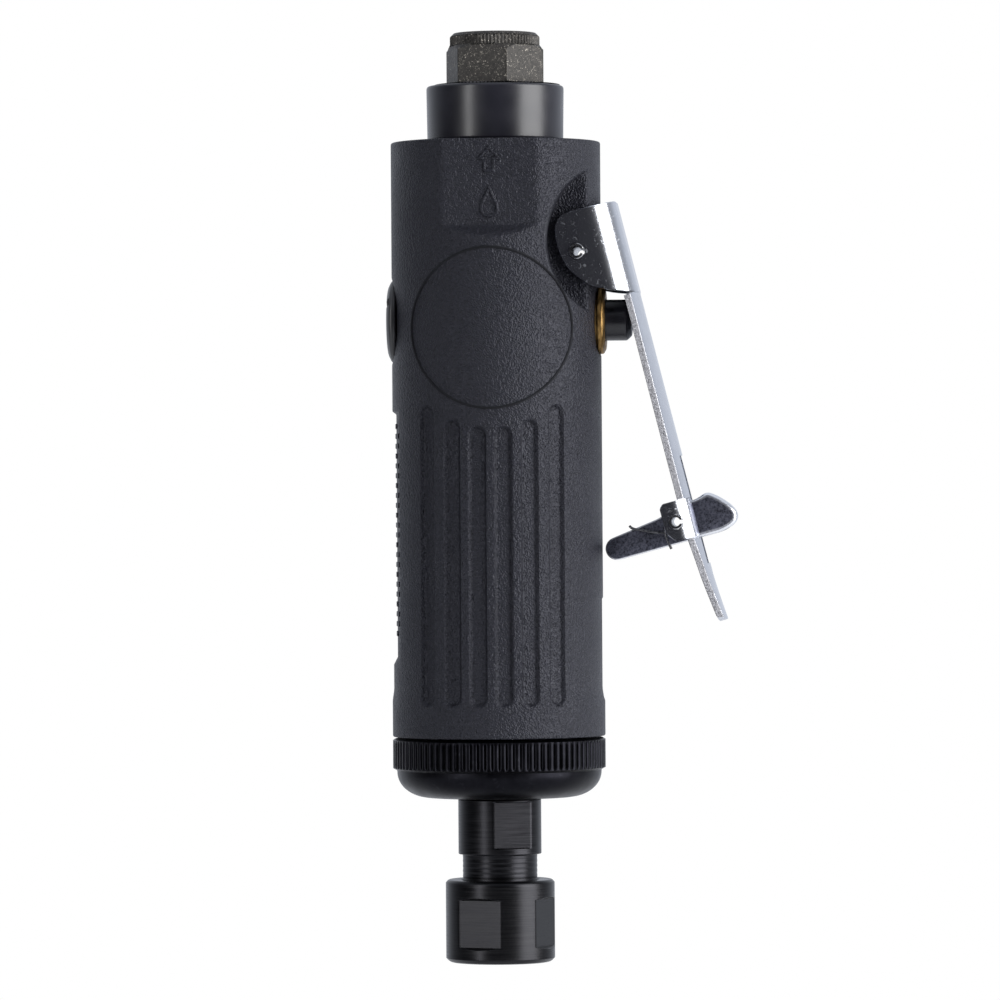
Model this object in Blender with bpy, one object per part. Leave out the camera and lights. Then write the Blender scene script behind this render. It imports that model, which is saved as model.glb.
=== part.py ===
"""Air die grinder with a rear exhaust, a locking throttle lever and a 1/4 inch collet.

Sizes are in millimetres and MM turns them into metres. Heights are measured up the tool's
axis from the front face of the collet nut. The finished tool hangs from its air inlet, so
the world origin is the middle of the inlet's mouth, +Z points out of the inlet, and the
throttle lever is on the +X side.
"""

import math

import bmesh
import bpy
from mathutils import Matrix

MM = 0.001
OVERALL = 179.0            # collet nut face to inlet mouth
CLEAR = 0.3                # gap left between pieces that touch

# Housing and the bores inside it
HOUSING_R = 20.2
HOUSING_LOW = 43.5
HOUSING_TOP = 158.7
FOOT_R = 20.5              # slight flare at the nose end
MOTOR_BORE_R = 15.8
MOTOR_BORE_TOP = 109.5
INLET_BORE_R = 8.5
INLET_BORE_LOW = 132.0
VALVE_H = 123.5            # height of the cross bore that holds the throttle valve
VALVE_BORE_R = 6.0

# Motor stack
CYLINDER_R = 15.5
CYLINDER_LOW = 57.7
CYLINDER_TOP = 98.0
CYLINDER_BORE_R = 12.8
CYLINDER_OFFSET = 1.2      # the bore is off centre, so the vanes sweep a crescent
ROTOR_R = 11.2
VANES = 4
VANE_THICK = 1.6
FRONT_BEARING_LOW = 47.3
FRONT_BEARING_TOP = 55.3
REAR_BEARING_LOW = 101.9
REAR_BEARING_TOP = 108.6

# Spindle, collet and nut
NUT_R = 10.5
NUT_TOP = 16.4
NUT_ACROSS = 19.0
NUT_FLAT_TURN = -110.7     # direction of one flat, in degrees from +X
SPINDLE_R = 8.0
SPINDLE_ACROSS = 14.0
SPINDLE_FLAT_TURN = -66.0
NECK_R = 7.2
COLLET_BORE_R = 3.2        # takes a 1/4 inch shank

# Inlet
HEX_ACROSS = 17.0
HEX_TURN = -102.5
HEX_LOW = 170.0
HEX_TOP = 176.6
CROWN_R = 8.65
SHANK_R = 8.2

# Throttle lever, in its own directions: s runs down the strip, n points outwards
PIVOT_X = 16.1
PIVOT_H = 136.5
LEAN = math.radians(14.2)
SHEET = 1.2
STRIP_N = 8.2              # pivot to the strip's inner face
STRIP_HALF = 7.0
CHANNEL_HALF = 10.3
BEND_R = 2.2
PIN_R = 1.5
LOCK_S = 54.85
LOCK_N = 5.2
LOCK_PIN_R = 1.45
LOCK_HALF = 3.1

for old in list(bpy.data.objects):
    bpy.data.objects.remove(old, do_unlink=True)

tool_frame = bpy.data.objects.new("tool_frame", None)
tool_frame.location = (0, 0, -OVERALL * MM)
bpy.context.scene.collection.objects.link(tool_frame)

BLACK_PAINT = ((0.035, 0.036, 0.042, 1), 0.55, 0.0)
BLACK_SATIN = ((0.04, 0.04, 0.05, 1), 0.35, 0.3)
BLACK_OXIDE = ((0.03, 0.03, 0.032, 1), 0.4, 0.8)
WORN_STEEL = ((0.12, 0.11, 0.10, 1), 0.45, 0.9)
BRIGHT_STEEL = ((0.6, 0.6, 0.62, 1), 0.25, 1.0)
CHROME = ((0.75, 0.76, 0.8, 1), 0.12, 1.0)
BRASS = ((0.70, 0.45, 0.15, 1), 0.3, 1.0)
BLACK_RUBBER = ((0.02, 0.02, 0.02, 1), 0.7, 0.0)
FELT = ((0.45, 0.42, 0.36, 1), 0.95, 0.0)
PHENOLIC = ((0.30, 0.16, 0.07, 1), 0.6, 0.0)

# Directions in which a shape drawn along its own Z is laid
UP = Matrix.Identity(4)
ALONG_X = Matrix.Rotation(math.pi / 2, 4, "Y")
BACK_X = Matrix.Rotation(-math.pi / 2, 4, "Y")
ALONG_Y = Matrix.Rotation(math.pi / 2, 4, "X")


def at(x, y, h, lay=UP):
    """Place of a shape: a direction, then a point in millimetres."""
    return Matrix.Translation((x * MM, y * MM, h * MM)) @ lay


def turned(outline, sides):
    """Revolve (radius, height) points about Z; they close in a ring unless they end on the axis."""
    bm = bmesh.new()
    verts = [bm.verts.new((r * MM, 0, h * MM)) for r, h in outline]
    edges = [bm.edges.new(pair) for pair in zip(verts, verts[1:])]
    if outline[0][0] > 0:
        edges.append(bm.edges.new((verts[-1], verts[0])))
    bmesh.ops.spin(
        bm, geom=verts + edges, cent=(0, 0, 0), axis=(0, 0, 1),
        angle=2 * math.pi, steps=sides, use_merge=True,
    )
    bmesh.ops.remove_doubles(bm, verts=bm.verts, dist=1e-7)
    bmesh.ops.recalc_face_normals(bm, faces=bm.faces)
    return bm


def prism(points, low, high):
    """Extrude a flat outline along Z from low to high."""
    bm = bmesh.new()
    face = bm.faces.new([bm.verts.new((x * MM, y * MM, low * MM)) for x, y in points])
    grown = bmesh.ops.extrude_face_region(bm, geom=[face])
    top = [item for item in grown["geom"] if isinstance(item, bmesh.types.BMVert)]
    bmesh.ops.translate(bm, verts=top, vec=(0, 0, (high - low) * MM))
    bmesh.ops.recalc_face_normals(bm, faces=bm.faces)
    return bm


def hollow_prism(outer, inner, low, high):
    """Extrude the space between two outlines that have the same number of points."""
    bm = bmesh.new()
    loops = []
    for points, h in ((outer, low), (outer, high), (inner, high), (inner, low)):
        loops.append([bm.verts.new((x * MM, y * MM, h * MM)) for x, y in points])
    count = len(outer)
    for a, b in zip(loops, loops[1:] + loops[:1]):
        for i in range(count):
            j = (i + 1) % count
            bm.faces.new((a[i], a[j], b[j], b[i]))
    bmesh.ops.recalc_face_normals(bm, faces=bm.faces)
    return bm


def merged(*shapes):
    """Several shapes as one, for a cutter made of separate bodies."""
    whole = bmesh.new()
    for bm in shapes:
        mesh = bpy.data.meshes.new("scratch")
        bm.to_mesh(mesh)
        bm.free()
        whole.from_mesh(mesh)
        bpy.data.meshes.remove(mesh)
    return whole


def moved(bm, place):
    bm.transform(place)
    return bm


def circle(radius, sides, x=0.0, y=0.0, start=0.0):
    step = 2 * math.pi / sides
    return [
        (x + radius * math.cos(start + i * step), y + radius * math.sin(start + i * step))
        for i in range(sides)
    ]


def polygon(across, sides, turn):
    """Regular outline of a given width across its flats, one flat facing turn degrees."""
    corner = across / 2 / math.cos(math.pi / sides)
    return circle(corner, sides, start=math.radians(turn) + math.pi / sides)


def box_outline(x_low, x_high, y_low, y_high):
    return [(x_low, y_low), (x_high, y_low), (x_high, y_high), (x_low, y_high)]


def rotated(points, degrees):
    c = math.cos(math.radians(degrees))
    s = math.sin(math.radians(degrees))
    return [(x * c - y * s, x * s + y * c) for x, y in points]


def arc(x, y, radius, start, end, steps):
    """Points on an arc from start to end degrees, both ends included."""
    out = []
    for i in range(steps + 1):
        a = math.radians(start + (end - start) * i / steps)
        out.append((x + radius * math.cos(a), y + radius * math.sin(a)))
    return out


def rod(radius, low, high, sides=24):
    return turned([(0, low), (radius, low), (radius, high), (0, high)], sides)


def o_ring(major, minor, height, sides=22, round_sides=6):
    return turned(
        [(major + x, height + y) for x, y in circle(minor, round_sides)], sides
    )


def piece(name, bm, finish, place=UP):
    """One sub-part: its mesh, its own material and its place on the tool."""
    mesh = bpy.data.meshes.new(name)
    bm.to_mesh(mesh)
    bm.free()
    mesh.shade_smooth()
    mesh.set_sharp_from_angle(angle=math.radians(35))
    paint = bpy.data.materials.new(name)
    paint.use_nodes = True
    shader = paint.node_tree.nodes["Principled BSDF"]
    colour, roughness, metallic = finish
    shader.inputs["Base Color"].default_value = colour
    shader.inputs["Roughness"].default_value = roughness
    shader.inputs["Metallic"].default_value = metallic
    mesh.materials.append(paint)
    obj = bpy.data.objects.new(name, mesh)
    bpy.context.scene.collection.objects.link(obj)
    obj.parent = tool_frame
    obj.matrix_local = place
    return obj


def tool(name, bm, place=UP):
    """A hidden shape that cuts, trims or adds to a sub-part."""
    mesh = bpy.data.meshes.new(name)
    bm.to_mesh(mesh)
    bm.free()
    obj = bpy.data.objects.new(name, mesh)
    bpy.context.scene.collection.objects.link(obj)
    obj.parent = tool_frame
    obj.matrix_local = place
    obj.hide_render = True
    obj.display_type = "WIRE"
    return obj


def combine(obj, other, operation="DIFFERENCE"):
    step = obj.modifiers.new(other.name, "BOOLEAN")
    step.operation = operation
    step.solver = "EXACT"
    step.object = other


def wire(name, points, radius, finish):
    """Round wire along points: a curve with a bevel, converted to a mesh sub-part."""
    curve = bpy.data.curves.new(name + "_path", "CURVE")
    curve.dimensions = "3D"
    curve.bevel_depth = radius * MM
    curve.bevel_resolution = 1
    curve.use_fill_caps = True
    spline = curve.splines.new("POLY")
    spline.points.add(len(points) - 1)
    for point, (x, y, h) in zip(spline.points, points):
        point.co = (x * MM, y * MM, h * MM, 1)
    guide = bpy.data.objects.new(name + "_path", curve)
    bpy.context.scene.collection.objects.link(guide)
    bm = bmesh.new()
    bm.from_mesh(guide.to_mesh())
    guide.to_mesh_clear()
    bpy.data.objects.remove(guide, do_unlink=True)
    bmesh.ops.remove_doubles(bm, verts=bm.verts, dist=1e-7)
    bmesh.ops.recalc_face_normals(bm, faces=bm.faces)
    return piece(name, bm, finish)


def on_lever(s, n):
    """Point (x, h) that lies s down the lever's strip and n out from its pivot."""
    x = PIVOT_X + s * math.sin(LEAN) + n * math.cos(LEAN)
    h = PIVOT_H - s * math.cos(LEAN) + n * math.sin(LEAN)
    return (x, h)


LOCK_X, LOCK_H = on_lever(LOCK_S, LOCK_N)

# ---------------------------------------------------------------- housing
housing = piece(
    "housing",
    turned(
        [
            (0, MOTOR_BORE_TOP), (MOTOR_BORE_R, MOTOR_BORE_TOP),
            (MOTOR_BORE_R, HOUSING_LOW), (FOOT_R - 0.3, HOUSING_LOW),
            (FOOT_R, HOUSING_LOW + 0.3), (FOOT_R, 50.2), (HOUSING_R, 53.0),
            (HOUSING_R, HOUSING_TOP - 0.5), (HOUSING_R - 0.5, HOUSING_TOP),
            (INLET_BORE_R, HOUSING_TOP), (INLET_BORE_R, INLET_BORE_LOW),
            (0, INLET_BORE_LOW),
        ],
        64,
    ),
    BLACK_PAINT,
)

valve_bore = tool(
    "cut_valve_bore",
    turned(
        [
            (0, -26), (8.4, -26), (8.4, -18.6), (VALVE_BORE_R, -18.6), (VALVE_BORE_R, 2.3),
            (4.6, 2.3), (4.6, 8.7), (5.9, 8.7), (5.9, 19.4), (6.9, 19.4), (6.9, 26), (0, 26),
        ],
        28,
    ),
    at(0, 0, VALVE_H, ALONG_X),
)
combine(housing, valve_bore)

passages = tool(
    "cut_air_passages",
    merged(
        moved(rod(2.3, 125, 134, 12), at(-4.5, 0, 0)),
        moved(rod(2.2, 108, 122, 12), at(5.5, 0, 0)),
        moved(rod(1.4, 108, 160, 12), at(-6.8, 8.2, 0)),
        moved(rod(1.4, 108, 160, 12), at(-6.8, -8.2, 0)),
    ),
)
combine(housing, passages)

POCKET_X = 26.1
POCKET_H = 138.5
POCKET_R = 15.6
TONGUE_HALF = 8.85
ear_pockets = tool(
    "cut_ear_pockets",
    merged(
        moved(rod(POCKET_R, TONGUE_HALF, 24, 48), at(POCKET_X, 0, POCKET_H, ALONG_Y)),
        moved(rod(POCKET_R, -24, -TONGUE_HALF, 48), at(POCKET_X, 0, POCKET_H, ALONG_Y)),
    ),
)
combine(housing, ear_pockets)

pivot_hole = tool(
    "cut_pivot_hole", rod(PIN_R + CLEAR, -14, 14, 20), at(PIVOT_X, 0, PIVOT_H, ALONG_Y)
)
combine(housing, pivot_hole)

# Flat oil panel on the front: a chord, ended by a 45 degree ramp
PANEL_Y = 17.98
PANEL_LOW = 141.5
panel = tool(
    "cut_oil_panel",
    prism(
        [
            (-PANEL_Y, PANEL_LOW), (-PANEL_Y, 165),
            (-PANEL_Y - 10, 165), (-PANEL_Y - 10, PANEL_LOW - 10),
        ],
        -12, 12,
    ),
    Matrix(((0, 0, 1, 0), (1, 0, 0, 0), (0, 1, 0, 0), (0, 0, 0, 1))),
)
combine(housing, panel)

# Six grip flutes, evenly spaced as seen from the front, each cut square to the surface
FLUTE_STEP = 4.96
FLUTE_HALF = 1.4
FLUTE_DEPTH = 0.7
FLUTE_LOW = 49.2
FLUTE_TOPS = (102.8, 104.1, 106.85)
flutes = []
for i in range(6):
    offset = (i - 2.5) * FLUTE_STEP
    top = FLUTE_TOPS[int(abs(i - 2.5))]
    slot = arc(0, top - FLUTE_HALF, FLUTE_HALF, 0, 180, 6)
    slot += arc(0, FLUTE_LOW + FLUTE_HALF, FLUTE_HALF, 180, 360, 6)
    cutter = prism(slot, HOUSING_R - FLUTE_DEPTH, HOUSING_R + 2)
    moved(cutter, ALONG_Y)
    moved(cutter, Matrix.Rotation(math.asin(offset / HOUSING_R), 4, "Z"))
    flutes.append(cutter)
combine(housing, tool("cut_flutes", merged(*flutes)))

# Shallow label recess down the left side, with a floor concentric with the housing
LABEL_LOW = 58.3
LABEL_TOP = 105.9
label_outline = arc(0, 0, HOUSING_R + 2, 156, 204, 12)
label_outline += arc(0, 0, HOUSING_R - 0.75, 204, 156, 12)
combine(housing, tool("cut_label_recess", prism(label_outline, LABEL_LOW, LABEL_TOP)))

# ---------------------------------------------------------------- air inlet
inlet_bushing = piece(
    "inlet_bushing",
    turned(
        [
            (6.7, OVERALL), (8.2, OVERALL), (CROWN_R, 178.4), (CROWN_R, HEX_TOP),
            (9.815, 175.9), (9.815, HEX_LOW), (SHANK_R, HEX_LOW), (SHANK_R, 153.4),
            (7.0, 153.4), (7.0, 151.6), (SHANK_R, 151.6), (SHANK_R, 146.5),
            (4.0, 146.5), (4.0, 164.5), (5.8, 164.8),
        ],
        36,
    ),
    WORN_STEEL,
)
hex_cut = hollow_prism(
    polygon(30, 6, HEX_TURN), polygon(HEX_ACROSS, 6, HEX_TURN), HEX_LOW - 0.2, HEX_TOP + 0.05
)
combine(inlet_bushing, tool("cut_inlet_hex", hex_cut))

inlet_screen = piece("inlet_screen", rod(5.3, 165.3, 165.9, 32), BRIGHT_STEEL)
holes = [moved(rod(0.9, 164, 167, 8), at(x, y, 0)) for x, y in circle(3.2, 7)]
holes.append(rod(0.9, 164, 167, 8))
combine(inlet_screen, tool("cut_screen_holes", merged(*holes)))

piece("inlet_seal", o_ring(7.8, 0.5, 152.5), BLACK_RUBBER)

# Lock washer under the hexagon, with fine teeth round its rim
WASHER_TEETH = 36
teeth = []
for i in range(WASHER_TEETH * 2):
    angle = math.pi * i / WASHER_TEETH
    reach = 12.1 if i % 2 else 11.65
    teeth.append((reach * math.cos(angle), reach * math.sin(angle)))
piece(
    "serrated_washer",
    hollow_prism(teeth, circle(8.6, WASHER_TEETH * 2), 169.2, 169.7),
    BLACK_OXIDE,
)

# ---------------------------------------------------------------- exhaust
exhaust_deflector = piece(
    "exhaust_deflector",
    turned(
        [(8.6, 168.9)] + arc(12.05, 167.7, 1.2, 90, 0, 2) + [
            (13.1, 159.0), (12.3, 159.0), (12.3, 167.2), (8.6, 167.2),
        ],
        44,
    ),
    BLACK_SATIN,
)
ports = [moved(rod(1.5, 8, 16, 12), at(x, 0, 163, ALONG_Y.inverted())) for x in (-5, 0, 5)]
combine(exhaust_deflector, tool("cut_exhaust_ports", merged(*ports)))
piece(
    "exhaust_muffler",
    turned([(9.0, 159.4), (12.0, 159.4), (12.0, 166.9), (9.0, 166.9)], 32),
    FELT,
)

# ---------------------------------------------------------------- air regulator
air_regulator = piece(
    "air_regulator",
    turned(
        [
            (0, 9.3), (5.2, 9.3), (5.6, 9.7), (5.6, 11.5), (4.6, 11.5), (4.6, 13.3),
            (5.6, 13.3), (5.6, 18.9), (8.0, 18.9), (8.0, 19.3), (7.2, 20.2), (5.4, 20.9),
            (3.0, 21.3), (0, 21.4),
        ],
        28,
    ),
    BLACK_SATIN,
    at(0, 0, VALVE_H, BACK_X),
)
slot = prism(box_outline(-9, 9, -0.8, 0.8), 20.5, 23)
combine(
    air_regulator,
    tool("cut_driver_slot", slot, at(0, 0, VALVE_H, BACK_X @ Matrix.Rotation(0.52, 4, "Z"))),
)
piece("regulator_seal", o_ring(5.3, 0.4, 12.4), BLACK_RUBBER, at(0, 0, VALVE_H, BACK_X))

# ---------------------------------------------------------------- throttle valve
piece(
    "throttle_bushing",
    turned(
        [
            (4.25, 9.0), (5.6, 9.0), (5.6, 19.7), (6.5, 19.7), (6.5, 20.3), (5.6, 20.9),
            (4.6, 21.2), (4.25, 21.2), (4.25, 13.9), (5.1, 13.9), (5.1, 12.2), (4.25, 12.2),
        ],
        28,
    ),
    BRASS,
    at(0, 0, VALVE_H, ALONG_X),
)
PLUNGER_R = 3.95
PLUNGER_END = 27.3
piece(
    "throttle_plunger",
    turned(
        [
            (0, 9.6), (3.6, 9.6), (PLUNGER_R, 9.95), (PLUNGER_R, 24.9), (2.3, 26.4),
            (1.0, PLUNGER_END), (0, PLUNGER_END),
        ],
        32,
    ),
    BLACK_RUBBER,
    at(0, 0, VALVE_H, ALONG_X),
)
piece("plunger_seal", o_ring(4.62, 0.35, 13.05), BLACK_RUBBER, at(0, 0, VALVE_H, ALONG_X))
piece(
    "valve_disc",
    turned(
        [
            (0, -3.6), (1.6, -3.6), (1.6, -2.3), (4.2, -2.3), (4.2, -0.3), (1.2, -0.3),
            (1.2, 9.3), (0, 9.3),
        ],
        24,
    ),
    BRASS,
    at(0, 0, VALVE_H, ALONG_X),
)
piece(
    "valve_seat",
    turned([(2.4, 0.0), (5.7, 0.0), (5.7, 2.0), (2.4, 2.0)], 28),
    BLACK_RUBBER,
    at(0, 0, VALVE_H, ALONG_X),
)
COILS = 4
COIL_STEPS = 9
spring_points = []
for i in range(COILS * COIL_STEPS + 1):
    angle = 2 * math.pi * i / COIL_STEPS
    x = -2.95 - 5.7 * i / (COILS * COIL_STEPS)
    spring_points.append((x, 2.6 * math.cos(angle), VALVE_H + 2.6 * math.sin(angle)))
wire("valve_spring", spring_points, 0.3, BRIGHT_STEEL)

# ---------------------------------------------------------------- ball bearings
def ball_cage(name, radius, ball, height, count=7):
    """A ring of balls joined by a thin cage: the tube swells to a ball count times round."""
    bm = bmesh.new()
    rings = []
    steps = 5
    web = ball * 0.42
    for i in range(count * steps):
        off = ((i % steps) / steps - 0.5) * 2 * math.pi * radius / count
        thick = math.sqrt(max(ball * ball - off * off, web * web))
        angle = 2 * math.pi * i / (count * steps)
        ring = []
        for j in range(6):
            turn = 2 * math.pi * j / 6
            r = radius + thick * math.cos(turn)
            h = height + thick * math.sin(turn)
            ring.append(bm.verts.new((r * math.cos(angle) * MM, r * math.sin(angle) * MM, h * MM)))
        rings.append(ring)
    for a, b in zip(rings, rings[1:] + rings[:1]):
        for j in range(6):
            k = (j + 1) % 6
            bm.faces.new((a[j], b[j], b[k], a[k]))
    bmesh.ops.recalc_face_normals(bm, faces=bm.faces)
    return piece(name, bm, BRIGHT_STEEL)


def race(name, inner, outer, low, high):
    return piece(
        name,
        turned([(inner, low), (outer, low), (outer, high), (inner, high)], 28),
        BRIGHT_STEEL,
    )


race("front_bearing_outer_race", 11.0, 13.0, FRONT_BEARING_LOW, FRONT_BEARING_TOP)
race("front_bearing_inner_race", 5.0, 6.8, FRONT_BEARING_LOW, FRONT_BEARING_TOP)
ball_cage("front_ball_cage", 8.9, 1.7, (FRONT_BEARING_LOW + FRONT_BEARING_TOP) / 2)
race("rear_bearing_outer_race", 9.4, 11.0, REAR_BEARING_LOW, REAR_BEARING_TOP)
race("rear_bearing_inner_race", 4.3, 5.6, REAR_BEARING_LOW, REAR_BEARING_TOP)
ball_cage("rear_ball_cage", 7.5, 1.5, (REAR_BEARING_LOW + REAR_BEARING_TOP) / 2)

# ---------------------------------------------------------------- vane motor
DOWEL_X = -13.4
DOWEL_Y = 1.1
dowel_hole = tool("cut_dowel_hole", rod(1.2, 52, 104, 12), at(DOWEL_X, DOWEL_Y, 0))
PLATE_TOP = CYLINDER_LOW - CLEAR
front_end_plate = piece(
    "front_end_plate",
    turned(
        [
            (5.3, PLATE_TOP), (CYLINDER_R, PLATE_TOP), (CYLINDER_R, 47.0), (13.3, 47.0),
            (13.3, 55.6), (5.3, 55.6),
        ],
        36,
    ),
    BRIGHT_STEEL,
)
combine(
    front_end_plate,
    tool("cut_front_dowel_hole", rod(1.2, 56.2, 60, 12), at(DOWEL_X, DOWEL_Y, 0)),
)
PLATE_LOW = CYLINDER_TOP + CLEAR
rear_end_plate = piece(
    "rear_end_plate",
    turned(
        [
            (4.6, PLATE_LOW), (CYLINDER_R, PLATE_LOW), (CYLINDER_R, 108.6), (11.3, 108.6),
            (11.3, 101.6), (4.6, 101.6),
        ],
        36,
    ),
    BRIGHT_STEEL,
)
combine(rear_end_plate, dowel_hole)
cylinder = piece(
    "cylinder",
    hollow_prism(
        circle(CYLINDER_R, 40), circle(CYLINDER_BORE_R, 40, x=CYLINDER_OFFSET),
        CYLINDER_LOW, CYLINDER_TOP,
    ),
    BRIGHT_STEEL,
)
combine(cylinder, dowel_hole)
ports = [moved(rod(1.6, 8, 18, 12), at(2.2, 0, h, ALONG_Y.inverted())) for h in (68, 78, 88)]
combine(cylinder, tool("cut_cylinder_ports", merged(*ports)))
piece("locating_pin", rod(0.9, 56.5, 103.5, 12), BRIGHT_STEEL, at(DOWEL_X, DOWEL_Y, 0))

rotor = piece(
    "rotor",
    turned(
        [
            (0, 36.6), (4.2, 36.6), (4.7, 37.1), (4.7, 58.0), (ROTOR_R, 58.0),
            (ROTOR_R, 97.7), (4.0, 97.7), (4.0, 108.8), (0, 108.8),
        ],
        32,
    ),
    BRIGHT_STEEL,
)
VANE_ROOT = 5.3
slot_half = VANE_THICK / 2 + CLEAR
slots = []
for i in range(VANES):
    outline = rotated(box_outline(VANE_ROOT - CLEAR, 13, -slot_half, slot_half), 45 + 90 * i)
    slots.append(prism(outline, 57, 99))
combine(rotor, tool("cut_vane_slots", merged(*slots)))
for i in range(VANES):
    half = VANE_THICK / 2
    outline = [(VANE_ROOT, -half)] + arc(ROTOR_R - 0.1 - half, 0, half, -90, 90, 4)
    outline.append((VANE_ROOT, half))
    piece("vane_%d" % (i + 1), prism(rotated(outline, 45 + 90 * i), 58.1, 97.6), PHENOLIC)

wave = bmesh.new()
WAVE_STEPS = 24
rings = []
for i in range(WAVE_STEPS):
    angle = 2 * math.pi * i / WAVE_STEPS
    lift = 109.05 + 0.1 * math.cos(3 * angle)
    ring = []
    for r, h in ((9.6, lift - 0.1), (10.9, lift - 0.1), (10.9, lift + 0.1), (9.6, lift + 0.1)):
        ring.append(wave.verts.new((r * math.cos(angle) * MM, r * math.sin(angle) * MM, h * MM)))
    rings.append(ring)
for a, b in zip(rings, rings[1:] + rings[:1]):
    for j in range(4):
        k = (j + 1) % 4
        wave.faces.new((a[j], b[j], b[k], a[k]))
bmesh.ops.recalc_face_normals(wave, faces=wave.faces)
piece("wave_spring", wave, BRIGHT_STEEL)

# ---------------------------------------------------------------- nose
clamp_outline = [(8.4, 31.8), (13.5, 31.8)]
clamp_outline += arc(14.5, 36.2, 4.9, -64, -8, 3)
clamp_outline += [
    (19.7, 36.6), (19.7, 37.0), (20.3, 37.1), (FOOT_R, 37.4), (FOOT_R, 42.9), (20.2, 43.2),
    (15.4, 43.2), (15.4, 46.7), (12.0, 46.7), (12.0, 35.0), (8.4, 35.0),
]
piece("clamp_nut", turned(clamp_outline, 48), BLACK_OXIDE)
piece(
    "dust_felt",
    turned([(8.2, 35.3), (11.6, 35.3), (11.6, 39.0), (8.2, 39.0)], 32),
    FELT,
)
piece(
    "front_spacer",
    turned([(5.0, 44.0), (7.0, 44.0), (7.0, 47.0), (5.0, 47.0)], 32),
    BRIGHT_STEEL,
)

# ---------------------------------------------------------------- spindle, collet and nut
spindle = piece(
    "spindle",
    turned(
        [
            (0, 30), (3.5, 30), (3.5, 18.5), (5.2, 17.6), (5.9, 3.4), (6.8, 3.4),
            (NECK_R, 3.9), (NECK_R, 20.4), (7.7, 20.4), (SPINDLE_R, 20.8), (SPINDLE_R, 31.3),
            (7.8, 31.6), (7.8, 43.7), (5.0, 43.7), (5.0, 36.3), (0, 36.3),
        ],
        36,
    ),
    BLACK_OXIDE,
)
half = SPINDLE_ACROSS / 2
combine(
    spindle,
    tool(
        "cut_spindle_flats",
        hollow_prism(
            rotated(box_outline(-14, 14, -14, 14), SPINDLE_FLAT_TURN),
            rotated(box_outline(-half, half, -12, 12), SPINDLE_FLAT_TURN),
            22.0, 31.0,
        ),
    ),
)

collet = piece(
    "collet",
    turned(
        [
            (COLLET_BORE_R, 1.4), (4.3, 1.4), (5.45, 3.1), (5.45, 4.0), (4.85, 17.2),
            (COLLET_BORE_R, 17.2),
        ],
        32,
    ),
    BRIGHT_STEEL,
)
for i in range(2):
    slit = prism(rotated(box_outline(-7, 7, -0.4, 0.4), 45 + 90 * i), 0.5, 13.0)
    combine(collet, tool("cut_collet_slit_%d" % (i + 1), slit))

collet_nut = piece(
    "collet_nut",
    turned(
        [
            (4.75, 0), (9.7, 0), (NUT_R, 0.8), (NUT_R, 15.5), (9.8, NUT_TOP), (7.7, NUT_TOP),
            (7.5, 16.1), (7.5, 3.1), (5.9, 2.9), (4.75, 1.0),
        ],
        44,
    ),
    BLACK_OXIDE,
)
combine(
    collet_nut,
    tool(
        "cut_nut_flats",
        hollow_prism(
            polygon(30, 4, NUT_FLAT_TURN), polygon(NUT_ACROSS, 4, NUT_FLAT_TURN), 3.2, 12.2
        ),
    ),
)

# ---------------------------------------------------------------- throttle lever
def channel_section():
    """Bent sheet: a web with two legs that point back towards the pivot, as (y, n) points."""
    web_out = STRIP_N + SHEET
    inner = BEND_R - SHEET
    edge = CHANNEL_HALF - BEND_R
    points = [(CHANNEL_HALF, -7)]
    points += arc(edge, web_out - BEND_R, BEND_R, 0, 90, 5)
    points += arc(-edge, web_out - BEND_R, BEND_R, 90, 180, 5)
    points += [(-CHANNEL_HALF, -7), (-CHANNEL_HALF + SHEET, -7)]
    points += arc(-edge, web_out - BEND_R, inner, 180, 90, 4)
    points += arc(edge, web_out - BEND_R, inner, 90, 0, 4)
    points.append((CHANNEL_HALF - SHEET, -7))
    return points


# Columns are the section's y, its n and the way down the strip, as directions of the tool
DOWN_STRIP = Matrix((
    (0, math.cos(LEAN), math.sin(LEAN), 0),
    (1, 0, 0, 0),
    (0, math.sin(LEAN), -math.cos(LEAN), 0),
    (0, 0, 0, 1),
))
throttle_lever = piece(
    "throttle_lever",
    prism(channel_section(), -13, 13),
    CHROME,
    at(PIVOT_X, 0, PIVOT_H, DOWN_STRIP),
)
EAR_OUTLINE = [
    (-3.0, 7.7), (-3.7, 6.4), (-4.1, 3.9), (-3.5, 0.6), (-2.0, -2.8), (0.6, -5.3),
    (3.6, -6.9), (6.9, -7.5), (13.5, -8.0), (13.5, 9.6), (3.6, 9.6), (3.1, 9.2),
]
ears = prism(EAR_OUTLINE, -12, 12)
combine(
    throttle_lever,
    tool("trim_ears", ears, at(PIVOT_X, 0, PIVOT_H, ALONG_Y)),
    "INTERSECT",
)

THIN = 0.02                # keeps the strip's faces off the channel's own faces
FLARE_S = 67.0
TIP_S = 74.7
FLARE_N = 0.95
strip_outline = [
    on_lever(-2, STRIP_N + THIN), on_lever(FLARE_S, STRIP_N + THIN),
    on_lever(TIP_S, STRIP_N + FLARE_N), on_lever(TIP_S - 0.15, STRIP_N + FLARE_N + SHEET),
    on_lever(FLARE_S, STRIP_N + SHEET - THIN), on_lever(-2, STRIP_N + SHEET - THIN),
]
strip = prism(strip_outline, -STRIP_HALF, STRIP_HALF)
combine(throttle_lever, tool("add_strip", strip, at(0, 0, 0, ALONG_Y)), "UNION")

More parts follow.
